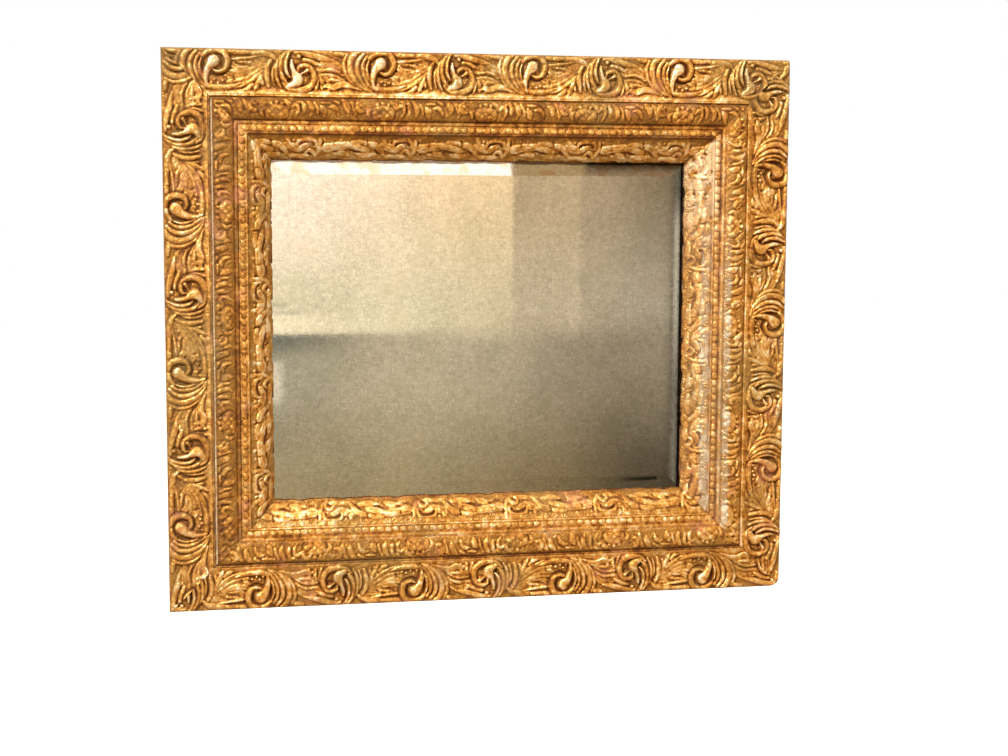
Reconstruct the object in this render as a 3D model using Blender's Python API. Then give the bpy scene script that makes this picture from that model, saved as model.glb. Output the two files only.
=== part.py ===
"""Wall mirror: a carved gilt frame of two nested mitred mouldings round a bevelled mirror plate.

The mirror faces -Y and its back lies on the plane y = 0. The origin is on the back of the top rail,
where the mirror bears on the wall. Sizes are in millimetres and become metres when points are made.

Each rail is modelled lying along +X: x is the place along the rail, -y is the distance in from the
frame's outer edge, and z is the height above the wall. rail_matrix then turns it into its place.
"""

import math

import bmesh
import bpy
from mathutils import Matrix, Vector

MM = 0.001

# Frame
FRAME_WIDTH = 764.0
FRAME_HEIGHT = 662.0
MOUNT_INSET = 28.0            # outer edge to the middle of the back face, where the mirror hangs
GAP = 0.3                     # between neighbouring pieces
OVERRUN = 40.0                # rail length past each corner, before the mitres are cut
CUTTER_SIDE = 420.0
CORNER_CUT_REACH = 60.0       # more than the frame's depth
CORNER_CUT_MARGIN = 5.0       # past the square corner

# Outer moulding, as distance in from the outer edge or height above the wall
SIDE_SET_BACK = 10.0          # the back is smaller than the front by this much on each side
HOLLOW_BASE = 18.0            # where the hollow of the outer side starts
HOLLOW_RISE = 21.0
GROUND_HEIGHT = 45.0
FILLET_HEIGHT = 48.3
FILLET_INNER = 53.0
OUTER_LIP = 54.7
LIP_UNDERSIDE = 34.0
OUTER_BACK_INNER = 46.0

# Inner moulding
TORUS_CENTRE = 68.6
TORUS_HALF_WIDTH = 12.9
TORUS_BASE = 42.5
TORUS_FOOT = 0.3              # upright foot of the torus above its base
TORUS_FOOTING = 2.0           # how far the torus reaches into the bar
TORUS_OVERRUN = 12.0          # past the mitres
TORUS_SECTION = ((59.8, 0.7), (TORUS_CENTRE, 1.0), (77.4, 0.7))     # inset and share of the full rise
LISTEL_HEIGHT = 44.5
BEAD_CENTRE = 91.2
BEAD_PITCH = 9.3
BEAD_RADIUS = 3.8
BEAD_HEIGHT = 3.2
BEAD_SHOULDER = 0.3           # where neighbouring beads meet, above the channel
BEAD_FOOTING = 1.0            # how far the bead strip reaches into the bar
CHANNEL_HEIGHT = 42.5
SIGHT_TOP = 97.0
SIGHT_EDGE = 127.0
SIGHT_LIP = 19.5
LIP_BACK = 16.5
REBATE = 119.2
INNER_BACK = 4.0

# Plate and board
PLATE_INSET = 119.5
PLATE_FRONT = 16.2
PLATE_THICKNESS = 5.0
BEVEL_WIDTH = 24.0
BEVEL_DROP = 1.3
BOARD_THICKNESS = 4.0

# Places of the repeated ornament along each rail, which the maker laid by hand and not quite evenly
SCROLL_A = {"top": (62, 256, 439, 622), "right": (140, 327, 510),
            "bottom": (106, 286, 473, 659), "left": (104, 288, 480)}
SCROLL_B = {"top": (160, 349, 531, 716), "right": (49, 237, 420, 604),
            "bottom": (198, 383, 568), "left": (196, 382, 573)}
ROSETTES = {"top": (132, 257, 380, 503, 625), "right": (81, 205, 329, 449, 568),
            "bottom": (98, 220, 343, 467, 592), "left": (100, 226, 350, 474, 590)}
ROSETTE_PITCH = 124.0
SIGHT_SPRAYS = {"top": (169, 283, 396, 509), "right": (131, 245, 359, 473),
                "bottom": (227, 341, 455, 570), "left": (152, 267, 381, 495)}

# The torus from one rosette to the next: place, rise above its base, and lean across the rail
TORUS_SWELLS = ((-7, 7.5, 0), (7, 7.5, 0), (16, 4.6, 0), (26, 6.6, -3), (34, 4.8, -2), (43, 7.2, 0),
                (52, 4.6, 2), (63, 6.6, 4), (73, 4.8, 4), (91, 6.8, 0), (108, 4.6, 0))

# Rounded, worn outer corners: the right rail's start and end
CORNER_RADII = {"top": 5.0, "bottom": 12.0}

SINK = 0.35                   # how far the middle of a carved ridge lies below the surface
RIDGE_TIP = 0.7               # half width of a ridge where it runs out

OBJECT = "wall_mirror"


def material(name, colour, roughness, metallic):
    """A plain Principled material."""
    mat = bpy.data.materials.new(name)
    mat.use_nodes = True
    shader = mat.node_tree.nodes["Principled BSDF"]
    shader.inputs["Base Color"].default_value = (*colour, 1.0)
    shader.inputs["Roughness"].default_value = roughness
    shader.inputs["Metallic"].default_value = metallic
    mat.diffuse_color = (*colour, 1.0)
    return mat


def rail_matrix(side):
    """The turn and shift that puts a rail, modelled along +X, into its place in the frame."""
    left, right = -FRAME_WIDTH / 2, FRAME_WIDTH / 2
    top, bottom = MOUNT_INSET, MOUNT_INSET - FRAME_HEIGHT
    start, along, outward = {
        "top": ((left, top), (1, 0), (0, 1)),
        "right": ((right, top), (0, -1), (1, 0)),
        "bottom": ((right, bottom), (-1, 0), (0, -1)),
        "left": ((left, bottom), (0, 1), (-1, 0)),
    }[side]
    columns = (Vector((along[0], 0, along[1])), Vector((outward[0], 0, outward[1])), Vector((0, -1, 0)))
    turn = Matrix(columns).transposed().to_4x4()
    return Matrix.Translation(Vector((start[0], 0, start[1])) * MM) @ turn


def rail_length(side):
    """Outer length of a rail from corner to corner."""
    return FRAME_WIDTH if side in ("top", "bottom") else FRAME_HEIGHT


def arc(centre, radii, angles, count, ease=1.0):
    """Points of a spiral arc whose radius runs between two values, eased by a power of the turn."""
    points = []
    for step in range(count + 1):
        part = step / count
        radius = radii[0] + (radii[1] - radii[0]) * part ** ease
        angle = math.radians(angles[0] + (angles[1] - angles[0]) * part)
        points.append((centre[0] + radius * math.cos(angle), centre[1] + radius * math.sin(angle)))
    return points


def outer_profile():
    """Section of the outer moulding as (inset, height) pairs, from the wall round the outer side."""
    hollow = arc((0.0, HOLLOW_BASE), (SIDE_SET_BACK, HOLLOW_RISE), (0, 90), 3)
    front = [(0.0, 42.0), (1.0, 44.2), (3.0, GROUND_HEIGHT), (47.4, GROUND_HEIGHT),
             (49.8, FILLET_HEIGHT), (FILLET_INNER, FILLET_HEIGHT), (OUTER_LIP, 46.8)]
    lip = [(OUTER_LIP, LIP_UNDERSIDE), (OUTER_BACK_INNER, LIP_UNDERSIDE), (OUTER_BACK_INNER, 0.0)]
    return [(SIDE_SET_BACK, 0.0)] + hollow + front + lip


def sight_profile():
    """The slope down to the plate, steeper towards the sight edge."""
    return [(SIGHT_TOP, 40.0), (104.0, 37.2), (SIGHT_EDGE, SIGHT_LIP)]


def inner_profile():
    """Section of the inner moulding as (inset, height) pairs, from its flange round over the front."""
    flange_top = LIP_UNDERSIDE - GAP
    start = OUTER_LIP + GAP
    flange = [(OUTER_BACK_INNER + GAP, INNER_BACK), (OUTER_BACK_INNER + GAP, flange_top),
              (start, flange_top), (start, TORUS_BASE)]
    listel = [(82.6, TORUS_BASE), (82.6, LISTEL_HEIGHT), (85.4, LISTEL_HEIGHT), (86.2, CHANNEL_HEIGHT),
              (95.2, CHANNEL_HEIGHT), (95.7, 43.3), (SIGHT_TOP - 0.3, 43.3)]
    lip = [(SIGHT_EDGE, LIP_BACK), (REBATE, LIP_BACK), (REBATE, INNER_BACK)]
    return flange + listel + sight_profile() + lip


def surface_height(profile, inset):
    """Height of a profile's front at one inset: the topmost edge that spans it."""
    heights = []
    for (m0, h0), (m1, h1) in zip(profile, profile[1:]):
        if m0 != m1 and min(m0, m1) <= inset <= max(m0, m1):
            heights.append(h0 + (h1 - h0) * (inset - m0) / (m1 - m0))
    return max(heights)


def mesh_from(curve_object):
    """A welded mesh object in the place of a curve object, which is removed."""
    graph = bpy.context.evaluated_depsgraph_get()
    mesh = bpy.data.meshes.new_from_object(curve_object.evaluated_get(graph))
    mesh.transform(curve_object.matrix_world)
    bm = bmesh.new()
    bm.from_mesh(mesh)
    bmesh.ops.remove_doubles(bm, verts=bm.verts, dist=0.00001)
    bmesh.ops.recalc_face_normals(bm, faces=bm.faces)
    bm.to_mesh(mesh)
    bm.free()
    curve = curve_object.data
    name = curve_object.name
    bpy.data.objects.remove(curve_object)
    bpy.data.curves.remove(curve)
    return bpy.data.objects.new(name, mesh)


def prism(name, profile, length):
    """A bar of one section along +X, longer than the rail at both ends."""
    curve = bpy.data.curves.new(name, "CURVE")
    curve.dimensions = "2D"
    curve.fill_mode = "BOTH"
    curve.extrude = (length / 2 + OVERRUN) * MM
    spline = curve.splines.new("POLY")
    spline.points.add(len(profile) - 1)
    for point, (inset, height) in zip(spline.points, profile):
        point.co = (inset * MM, height * MM, 0.0, 1.0)
    spline.use_cyclic_u = True
    bar = bpy.data.objects.new(name, curve)
    bpy.context.scene.collection.objects.link(bar)
    turn = Matrix(((0, 0, -1), (-1, 0, 0), (0, 1, 0))).to_4x4()
    bar.matrix_world = Matrix.Translation((length / 2 * MM, 0, 0)) @ turn
    bpy.context.view_layer.update()
    return mesh_from(bar)


def ridge(profile, path, widths):
    """A carved ridge: a four-sided tapering tube whose middle follows the moulding's surface."""
    curve = bpy.data.curves.new("ridge", "CURVE")
    curve.dimensions = "3D"
    curve.twist_mode = "Z_UP"
    curve.bevel_depth = MM
    curve.bevel_resolution = 0
    curve.use_fill_caps = True
    spline = curve.splines.new("POLY")
    spline.points.add(len(path) - 1)
    last = len(path) - 1
    for index, (point, (along, inset)) in enumerate(zip(spline.points, path)):
        height = surface_height(profile, inset) - SINK
        point.co = (along * MM, -inset * MM, height * MM, 1.0)
        place = index / last * (len(widths) - 1)
        low = min(int(place), len(widths) - 2)
        point.radius = widths[low] + (widths[low + 1] - widths[low]) * (place - low)
    tube = bpy.data.objects.new("ridge", curve)
    bpy.context.scene.collection.objects.link(tube)
    bpy.context.view_layer.update()
    return mesh_from(tube)


def merged_object(name, bm):
    """An object of an edited mesh, with the faces of each flat side made one."""
    bmesh.ops.dissolve_limit(bm, angle_limit=0.0005, verts=bm.verts, edges=bm.edges)
    mesh = bpy.data.meshes.new(name)
    bm.to_mesh(mesh)
    bm.free()
    return bpy.data.objects.new(name, mesh)


def loft(sections):
    """A closed loft through unlike sections, each a ring of as many (along, inset, height) points."""
    bm = bmesh.new()
    rings = [[bm.verts.new((u * MM, -m * MM, h * MM)) for u, m, h in section] for section in sections]
    for ring, following in zip(rings, rings[1:]):
        for index in range(len(ring)):
            after = (index + 1) % len(ring)
            bm.faces.new((ring[index], ring[after], following[after], following[index]))
    bm.faces.new(rings[0])
    bm.faces.new(list(reversed(rings[-1])))
    bmesh.ops.recalc_face_normals(bm, faces=bm.faces)
    return bm


def shifted(points, along):
    """The points of a stroke moved along the rail."""
    return [(u + along, m) for u, m in points]


def scroll_a():
    """Strokes of the scroll whose eye lies near the outer edge, as (points, half widths)."""
    wrap = arc((6, 22), (27, 22), (216, 96), 4) + arc((6, 22), (23, 36), (70, 10), 2)
    return [
        (wrap, (1.6, 3.0, 3.2, 3.6, 3.4, 2.6, 1.0)),
        (arc((3.5, 14), (12.5, 10), (-50, 112), 3), (1.4, 3.3, 1.4)),
        (arc((8, 28), (17, 17), (247, 165), 2), (4.8, 4.0, RIDGE_TIP)),
        (arc((6, 22), (34, 31), (206, 142), 2), (1.0, 2.6, RIDGE_TIP)),
        (arc((6, 22), (42, 37), (200, 152), 2), (1.0, 2.6, RIDGE_TIP)),
        (arc((-42, 80), (46, 46), (246, 286), 2), (RIDGE_TIP, 2.8, 1.0)),
        (arc((-1, 75), (70, 70), (-70, -50), 1), (3.0, 1.0)),
    ]


def scroll_b():
    """Strokes of the scroll whose eye lies near the fillet, as (points, half widths)."""
    wrap = arc((-1, 26), (23, 17.5), (226, 100), 3) + arc((-1, 27), (17.5, 10), (56, -84), 3)
    return [
        (wrap, (1.0, 3.0, 3.4, 3.6, 3.4, 1.4)),
        (arc((17, 17), (24, 26), (134, 186), 2), (4.8, 3.6, 1.0)),
        (arc((0, 28), (32, 29), (228, 156), 2), (1.0, 2.4, RIDGE_TIP)),
        (arc((0, 28), (39, 36), (216, 160), 2), (1.0, 2.4, RIDGE_TIP)),
        (arc((13, 75), (69, 69), (-98, -66), 2), (1.2, 2.8, RIDGE_TIP)),
    ]


def sight_leaves():
    """Leaf spray of the sight slope: a hooked arch, then a long leaf with a rib below it."""
    return [
        (arc((0, 113), (8, 8), (180, 360), 2), (1.2, 2.6, 1.2)),
        ([(19, 109), (48, 110), (77, 115)], (1.0, 3.0, RIDGE_TIP)),
        ([(18, 119), (44, 120.5), (68, 123)], (1.2, 2.4, RIDGE_TIP)),
    ]


def carving(name, parts):
    """All the ornament of one rail, joined as one object of overlapping closed bodies."""
    bm = bmesh.new()
    for part in parts:
        bm.from_mesh(part.data)
        mesh = part.data
        bpy.data.objects.remove(part)
        bpy.data.meshes.remove(mesh)
    mesh = bpy.data.meshes.new(name)
    bm.to_mesh(mesh)
    bm.free()
    return bpy.data.objects.new(name, mesh)


def strokes_along(profile, places, strokes):
    """One set of ridges at each place along the rail."""
    return [ridge(profile, shifted(points, place), widths)
            for place in places for points, widths in strokes]


def outer_ornament(side):
    """Scroll frieze of an outer rail."""
    profile = outer_profile()
    return (strokes_along(profile, SCROLL_A[side], scroll_a())
            + strokes_along(profile, SCROLL_B[side], scroll_b()))


def bead_row(side):
    """Bead row from mitre to mitre, with a bead at the rail's middle: one strip of square pyramids."""
    middle = rail_length(side) / 2
    half_count = int((middle - BEAD_CENTRE) / BEAD_PITCH) + 2.5
    floor, head = CHANNEL_HEIGHT - BEAD_FOOTING, CHANNEL_HEIGHT + BEAD_SHOULDER
    outer, inner = BEAD_CENTRE - BEAD_RADIUS, BEAD_CENTRE + BEAD_RADIUS
    sections = []
    for step in range(int(2 * half_count) + 1):
        along = middle + (step - half_count) * BEAD_PITCH
        ring = ((inner, floor), (outer, floor), (outer, head), (inner, head))
        sections.append([(along, inset, height) for inset, height in ring])
    bm = loft(sections)
    squares = [face for face in bm.faces if face.normal.z > 0.9]
    bmesh.ops.poke(bm, faces=squares, offset=(BEAD_HEIGHT - BEAD_SHOULDER) * MM)
    return merged_object("bead_row", bm)


def torus_stations(side):
    """Places and heights of the torus's swellings: each rosette, then the lobes up to the next one."""
    laid = ROSETTES[side]
    places = (laid[0] - ROSETTE_PITCH, *laid, laid[-1] + ROSETTE_PITCH)
    stations = []
    for here, following in zip(places, places[1:]):
        span = following - here
        stations += [(here + part * span / ROSETTE_PITCH, rise, lean) for part, rise, lean in TORUS_SWELLS]
    length = rail_length(side)
    nearest = TORUS_CENTRE - TORUS_HALF_WIDTH - TORUS_OVERRUN
    return [station for station in stations if nearest < station[0] < length - nearest]


def torus(side):
    """The half-round of the inner moulding, lofted over its rosettes and leaf lobes."""
    outer, inner = TORUS_CENTRE - TORUS_HALF_WIDTH, TORUS_CENTRE + TORUS_HALF_WIDTH
    floor, foot = TORUS_BASE - TORUS_FOOTING, TORUS_BASE + TORUS_FOOT
    sections = []
    for along, rise, lean in torus_stations(side):
        ring = [(along + lean, inner, floor), (along - lean, outer, floor), (along - lean, outer, foot)]
        for inset, share in TORUS_SECTION:
            swing = lean * (inset - TORUS_CENTRE) / TORUS_HALF_WIDTH
            ring.append((along + swing, inset, TORUS_BASE + share * rise))
        ring.append((along + lean, inner, foot))
        sections.append(ring)
    return merged_object("torus", loft(sections))


def inner_ornament(side):
    """The torus with its rosettes and leaves, the bead row and the sprays of the sight slope."""
    return [torus(side), bead_row(side)] + strokes_along(inner_profile(), SIGHT_SPRAYS[side], sight_leaves())


def add_boolean(target, operand, operation):
    """An exact Boolean modifier on the target."""
    step = target.modifiers.new(f"{operation.lower()}_{operand.name}", "BOOLEAN")
    step.operation = operation
    step.solver = "EXACT"
    step.use_self = operation == "UNION"
    step.object = operand


def as_cutter(obj, cutters):
    """Keep an operand out of the render, in the cutters' collection."""
    cutters.objects.link(obj)
    obj.hide_render = True
    obj.display_type = "WIRE"
    return obj


def mitre_cutter(name, start, inward, cutters):
    """A block whose one face lies on a mitre, set in by half the gap."""
    bpy.ops.mesh.primitive_cube_add(size=CUTTER_SIDE * MM)
    block = bpy.context.object
    block.name = name
    for home in block.users_collection:
        home.objects.unlink(block)
    normal = Vector((inward[0], inward[1], 0)).normalized()
    centre = Vector((start, 0, 0)) + normal * (GAP / 2 - CUTTER_SIDE / 2)
    block.location = centre * MM
    block.rotation_euler = (0, 0, math.radians(45))
    return as_cutter(block, cutters)


def corner_cutter(name, start, end_sign, radius, cutters):
    """What a rounded outer corner lacks: the square corner outside its arc, through the whole depth."""
    curve = bpy.data.curves.new(name, "CURVE")
    curve.dimensions = "2D"
    curve.fill_mode = "BOTH"
    curve.extrude = CORNER_CUT_REACH * MM
    rim = arc((start + end_sign * radius, -radius), (radius, radius), (90, 90 + 90 * end_sign), 6)
    beyond = start - end_sign * CORNER_CUT_MARGIN
    outline = rim + [(beyond, -radius), (beyond, CORNER_CUT_MARGIN),
                     (start + end_sign * radius, CORNER_CUT_MARGIN)]
    spline = curve.splines.new("POLY")
    spline.points.add(len(outline) - 1)
    for point, (x, y) in zip(spline.points, outline):
        point.co = (x * MM, y * MM, 0.0, 1.0)
    spline.use_cyclic_u = True
    block = bpy.data.objects.new(name, curve)
    bpy.context.scene.collection.objects.link(block)
    bpy.context.view_layer.update()
    return as_cutter(mesh_from(block), cutters)


def rail(family, side, profile, ornament, mat, parts, cutters):
    """One mitred rail: its bar, the ornament joined to it, and the two mitres cut."""
    name = f"{family}_rail_{side}"
    length = rail_length(side)
    bar = prism(name, profile, length)
    bar.data.materials.append(mat)
    parts.objects.link(bar)
    bar.matrix_world = rail_matrix(side)
    operands = [(as_cutter(carving(f"carving_{name}", ornament), cutters), "UNION"),
                (mitre_cutter(f"mitre_start_{name}", 0.0, (1, 1), cutters), "DIFFERENCE"),
                (mitre_cutter(f"mitre_end_{name}", length, (-1, 1), cutters), "DIFFERENCE")]
    if family == "outer":
        corners = {("right", "start"): "top", ("top", "end"): "top",
                   ("right", "end"): "bottom", ("bottom", "start"): "bottom"}
        for end, start, sign in (("start", 0.0, 1), ("end", length, -1)):
            corner = corners.get((side, end))
            if corner:
                operands.append((corner_cutter(f"corner_{end}_{name}", start, sign, CORNER_RADII[corner],
                                               cutters), "DIFFERENCE"))
    for operand, operation in operands:
        operand.matrix_world = rail_matrix(side) @ operand.matrix_basis
        add_boolean(bar, operand, operation)
    return bar


def slab(name, front, thickness, mat, parts):
    """A flat board in the rebate, with its front at a height above the wall."""
    bpy.ops.mesh.primitive_cube_add(size=1.0)
    board = bpy.context.object
    board.name = name
    for home in board.users_collection:
        home.objects.unlink(board)
    parts.objects.link(board)
    size = (FRAME_WIDTH - 2 * PLATE_INSET, thickness, FRAME_HEIGHT - 2 * PLATE_INSET)
    board.data.transform(Matrix.Diagonal((*(Vector(size) * MM), 1.0)))
    board.location = Vector((0, thickness / 2 - front, MOUNT_INSET - FRAME_HEIGHT / 2)) * MM
    board.data.materials.append(mat)
    return board


def bevelled_plate(mat, parts):
    """The mirror plate: a slab whose front face is inset, so that its margin becomes the bevel."""
    plate = slab("mirror_plate", PLATE_FRONT, PLATE_THICKNESS, mat, parts)
    bm = bmesh.new()
    bm.from_mesh(plate.data)
    front = [face for face in bm.faces if face.normal.y < -0.9]
    bmesh.ops.translate(bm, verts=front[0].verts, vec=(0, BEVEL_DROP * MM, 0))
    bmesh.ops.inset_region(bm, faces=front, thickness=BEVEL_WIDTH * MM, depth=BEVEL_DROP * MM,
                           use_even_offset=True)
    bm.to_mesh(plate.data)
    bm.free()
    return plate


def clear_scene():
    """Start from nothing."""
    for obj in list(bpy.data.objects):
        bpy.data.objects.remove(obj)


def build():
    """Make every piece."""
    clear_scene()
    parts = bpy.data.collections.new(OBJECT)
    cutters = bpy.data.collections.new("cutters")
    for collection in (parts, cutters):
        bpy.context.scene.collection.children.link(collection)
    for side in ("top", "right", "bottom", "left"):
        gilt = material(f"outer_gilding_{side}", (0.58, 0.30, 0.07), 0.38, 1.0)
        rail("outer", side, outer_profile(), outer_ornament(side), gilt, parts, cutters)
        gilt = material(f"inner_gilding_{side}", (0.60, 0.33, 0.09), 0.35, 1.0)
        rail("inner", side, inner_profile(), inner_ornament(side), gilt, parts, cutters)
    bevelled_plate(material("silvered_glass", (0.62, 0.58, 0.49), 0.12, 1.0), parts)
    slab("backing_board", PLATE_FRONT - PLATE_THICKNESS - GAP, BOARD_THICKNESS,
         material("backing_pine", (0.36, 0.22, 0.11), 0.8, 0.0), parts)


build()
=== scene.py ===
"""Antique gilt wall mirror: scroll frieze, leafy half-round, bead row, sight slope and an aged plate."""
import logging
from dataclasses import dataclass, replace
from enum import Enum
from math import radians

import bmesh
import bpy
import numpy as np
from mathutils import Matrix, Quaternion, Vector

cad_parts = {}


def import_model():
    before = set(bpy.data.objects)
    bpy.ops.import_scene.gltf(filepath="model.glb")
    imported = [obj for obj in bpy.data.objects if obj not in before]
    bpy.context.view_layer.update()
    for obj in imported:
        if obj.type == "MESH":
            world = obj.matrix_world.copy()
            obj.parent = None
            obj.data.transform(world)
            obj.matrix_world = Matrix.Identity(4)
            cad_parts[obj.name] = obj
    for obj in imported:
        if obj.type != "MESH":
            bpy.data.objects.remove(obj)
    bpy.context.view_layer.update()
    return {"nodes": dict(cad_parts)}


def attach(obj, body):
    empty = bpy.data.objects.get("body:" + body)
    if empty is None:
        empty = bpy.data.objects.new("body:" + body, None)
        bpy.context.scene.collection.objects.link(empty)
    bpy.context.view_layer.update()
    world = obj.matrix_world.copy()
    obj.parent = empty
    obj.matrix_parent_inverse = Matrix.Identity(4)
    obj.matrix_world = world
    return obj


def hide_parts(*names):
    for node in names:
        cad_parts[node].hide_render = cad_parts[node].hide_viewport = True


log = logging.getLogger("wall_mirror")

# Lengths are in millimetres, apart from those of the studio and of materials, which are in metres.
MM = 0.001
WIDTH, HEIGHT = 764.0, 662.0
TOP_EDGE = 28.0                 # from the place where the mirror hangs up to the outer edge
HALF_GAP = 0.15                 # half of the gap at a mitre
FRONT_LIMIT = 49.95             # the carving stays behind the front of the solids
TOP_CORNER, BOTTOM_CORNER = 5.0, 12.0           # worn radii of the right-hand corners
FLAT, GROUND_DEPTH = 0.5, 0.8   # relief tone of a plain surface, and height at which the ground ends

Places = dict["Side", tuple[float, ...]]
Anchors = dict["Side", tuple[tuple[float, float], ...]]


class Side(Enum):
    """A side of the frame. Along it, u runs clockwise from a corner, and m inwards from the outer edge."""

    TOP = "top"
    RIGHT = "right"
    BOTTOM = "bottom"
    LEFT = "left"

    @property
    def level(self) -> bool:
        """Whether the side lies level."""
        return self in (Side.TOP, Side.BOTTOM)

    @property
    def length(self) -> float:
        """Outer length of the side."""
        return WIDTH if self.level else HEIGHT

    @property
    def corner_radii(self) -> tuple[float, float]:
        """Worn rounding of the outer corners at the start and the end of the side."""
        return {Side.TOP: (0.0, TOP_CORNER), Side.RIGHT: (TOP_CORNER, BOTTOM_CORNER),
                Side.BOTTOM: (BOTTOM_CORNER, 0.0), Side.LEFT: (0.0, 0.0)}[self]

    def place(self, u: np.ndarray, m: np.ndarray, h: np.ndarray) -> np.ndarray:
        """Turn side coordinates into the frame's own.

        Args:
            u: place along the side.
            m: inset from the outer edge.
            h: height in front of the wall.

        Returns:
            Points in metres, one row each.
        """
        half, foot = WIDTH / 2, TOP_EDGE - HEIGHT
        x, z = {Side.TOP: (u - half, TOP_EDGE - m), Side.RIGHT: (half - m, TOP_EDGE - u),
                Side.BOTTOM: (half - u, foot + m), Side.LEFT: (m - half, foot + u)}[self]
        return np.stack([x, -h, z], axis=-1) * MM


class Section(Enum):
    """Cross section of a carved stroke."""

    ROUND = "round"
    HOLLOW = "hollow"
    RIGHT = "high on the right of its run"
    CUT = "sunk"


@dataclass(frozen=True)
class Stroke:
    """One carved stroke: a smooth path with a width and a height that change along it.

    Attributes:
        path: (along, inwards, half width, height) at each control point.
        section: shape across the stroke.
        groove: depth of the cut along its sides.
        cut: width of that cut.
        tint: how much lighter or darker it is painted; the dark tints of hooks, rings and bands are painted
            shade, and 0.5 marks the tails, whose painted highlight is set for each side.
        rib: strength of the light and dark stripes along it, which paint the light and shade of leaf veins.
    """

    path: tuple[tuple[float, float, float, float], ...]
    section: Section = Section.ROUND
    groove: float = 0.9
    cut: float = 1.3
    tint: float = 0.0
    rib: float = 0.0

    def stations(self, step: float = 0.35, thinnest: float = 0.3) -> np.ndarray:
        """Points of a smooth curve through the control points, spaced by about step."""
        p = np.array(self.path, float)
        if len(p) == 1:
            return p
        ends = np.vstack([2 * p[0] - p[1], p, 2 * p[-1] - p[-2]])
        out = []
        for a, b, c, d in zip(ends, ends[1:], ends[2:], ends[3:]):
            count = max(2, int(np.hypot(*(c - b)[:2]) / step))
            t = np.linspace(0, 1, count, endpoint=False)[:, None]
            bend, twist = 2 * a - 5 * b + 4 * c - d, 3 * b - a - 3 * c + d
            out.append(0.5 * (2 * b + (c - a) * t + bend * t**2 + twist * t**3))
        curve = np.vstack([*out, p[-1:]])
        curve[:, 2] = np.maximum(curve[:, 2], thinnest)
        return curve

    def profile(self, across: np.ndarray, height: np.ndarray) -> np.ndarray:
        """Surface height inside the stroke.

        Args:
            across: signed place across the stroke, -1 on its left edge and 1 on its right edge.
            height: crest height at the same points.

        Returns:
            Height above the ground.
        """
        q = np.abs(across)
        if self.section is Section.CUT:
            return height * np.sqrt(np.clip(1 - q**2, 0, 1))
        shape = {
            Section.ROUND: 0.3 + 0.7 * np.clip(1 - q**2.6, 0, 1) ** 0.6,
            Section.HOLLOW: 0.55 + 0.45 * q**2,
            Section.RIGHT: 0.4 + 0.6 * (1 + across) / 2,
        }[self.section]
        return height * shape * (0.45 + 0.55 * np.sqrt(np.clip(1 - q**4, 0, 1)))


def fan(*paths: tuple, **style: object) -> tuple[Stroke, ...]:
    """Several strokes of one style, whose values are those of a Stroke."""
    return tuple(Stroke(path, **style) for path in paths)


def cuts(*paths: tuple) -> tuple[Stroke, ...]:
    """Several sunk strokes: the dark pockets between the leaves."""
    return fan(*paths, section=Section.CUT, groove=0.0)


def knobs(*bosses: tuple[float, float, float, float, float]) -> tuple[Stroke, ...]:
    """Round bosses, each given as (along, inwards, radius, height, groove)."""
    return tuple(Stroke((boss[:4],), groove=boss[4]) for boss in bosses)


def moved(strokes: tuple[Stroke, ...], at: float) -> tuple[Stroke, ...]:
    """The same strokes further along the pattern."""
    return tuple(replace(s, path=tuple((u + at, v, w, h) for u, v, w, h in s.path)) for s in strokes)


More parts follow.
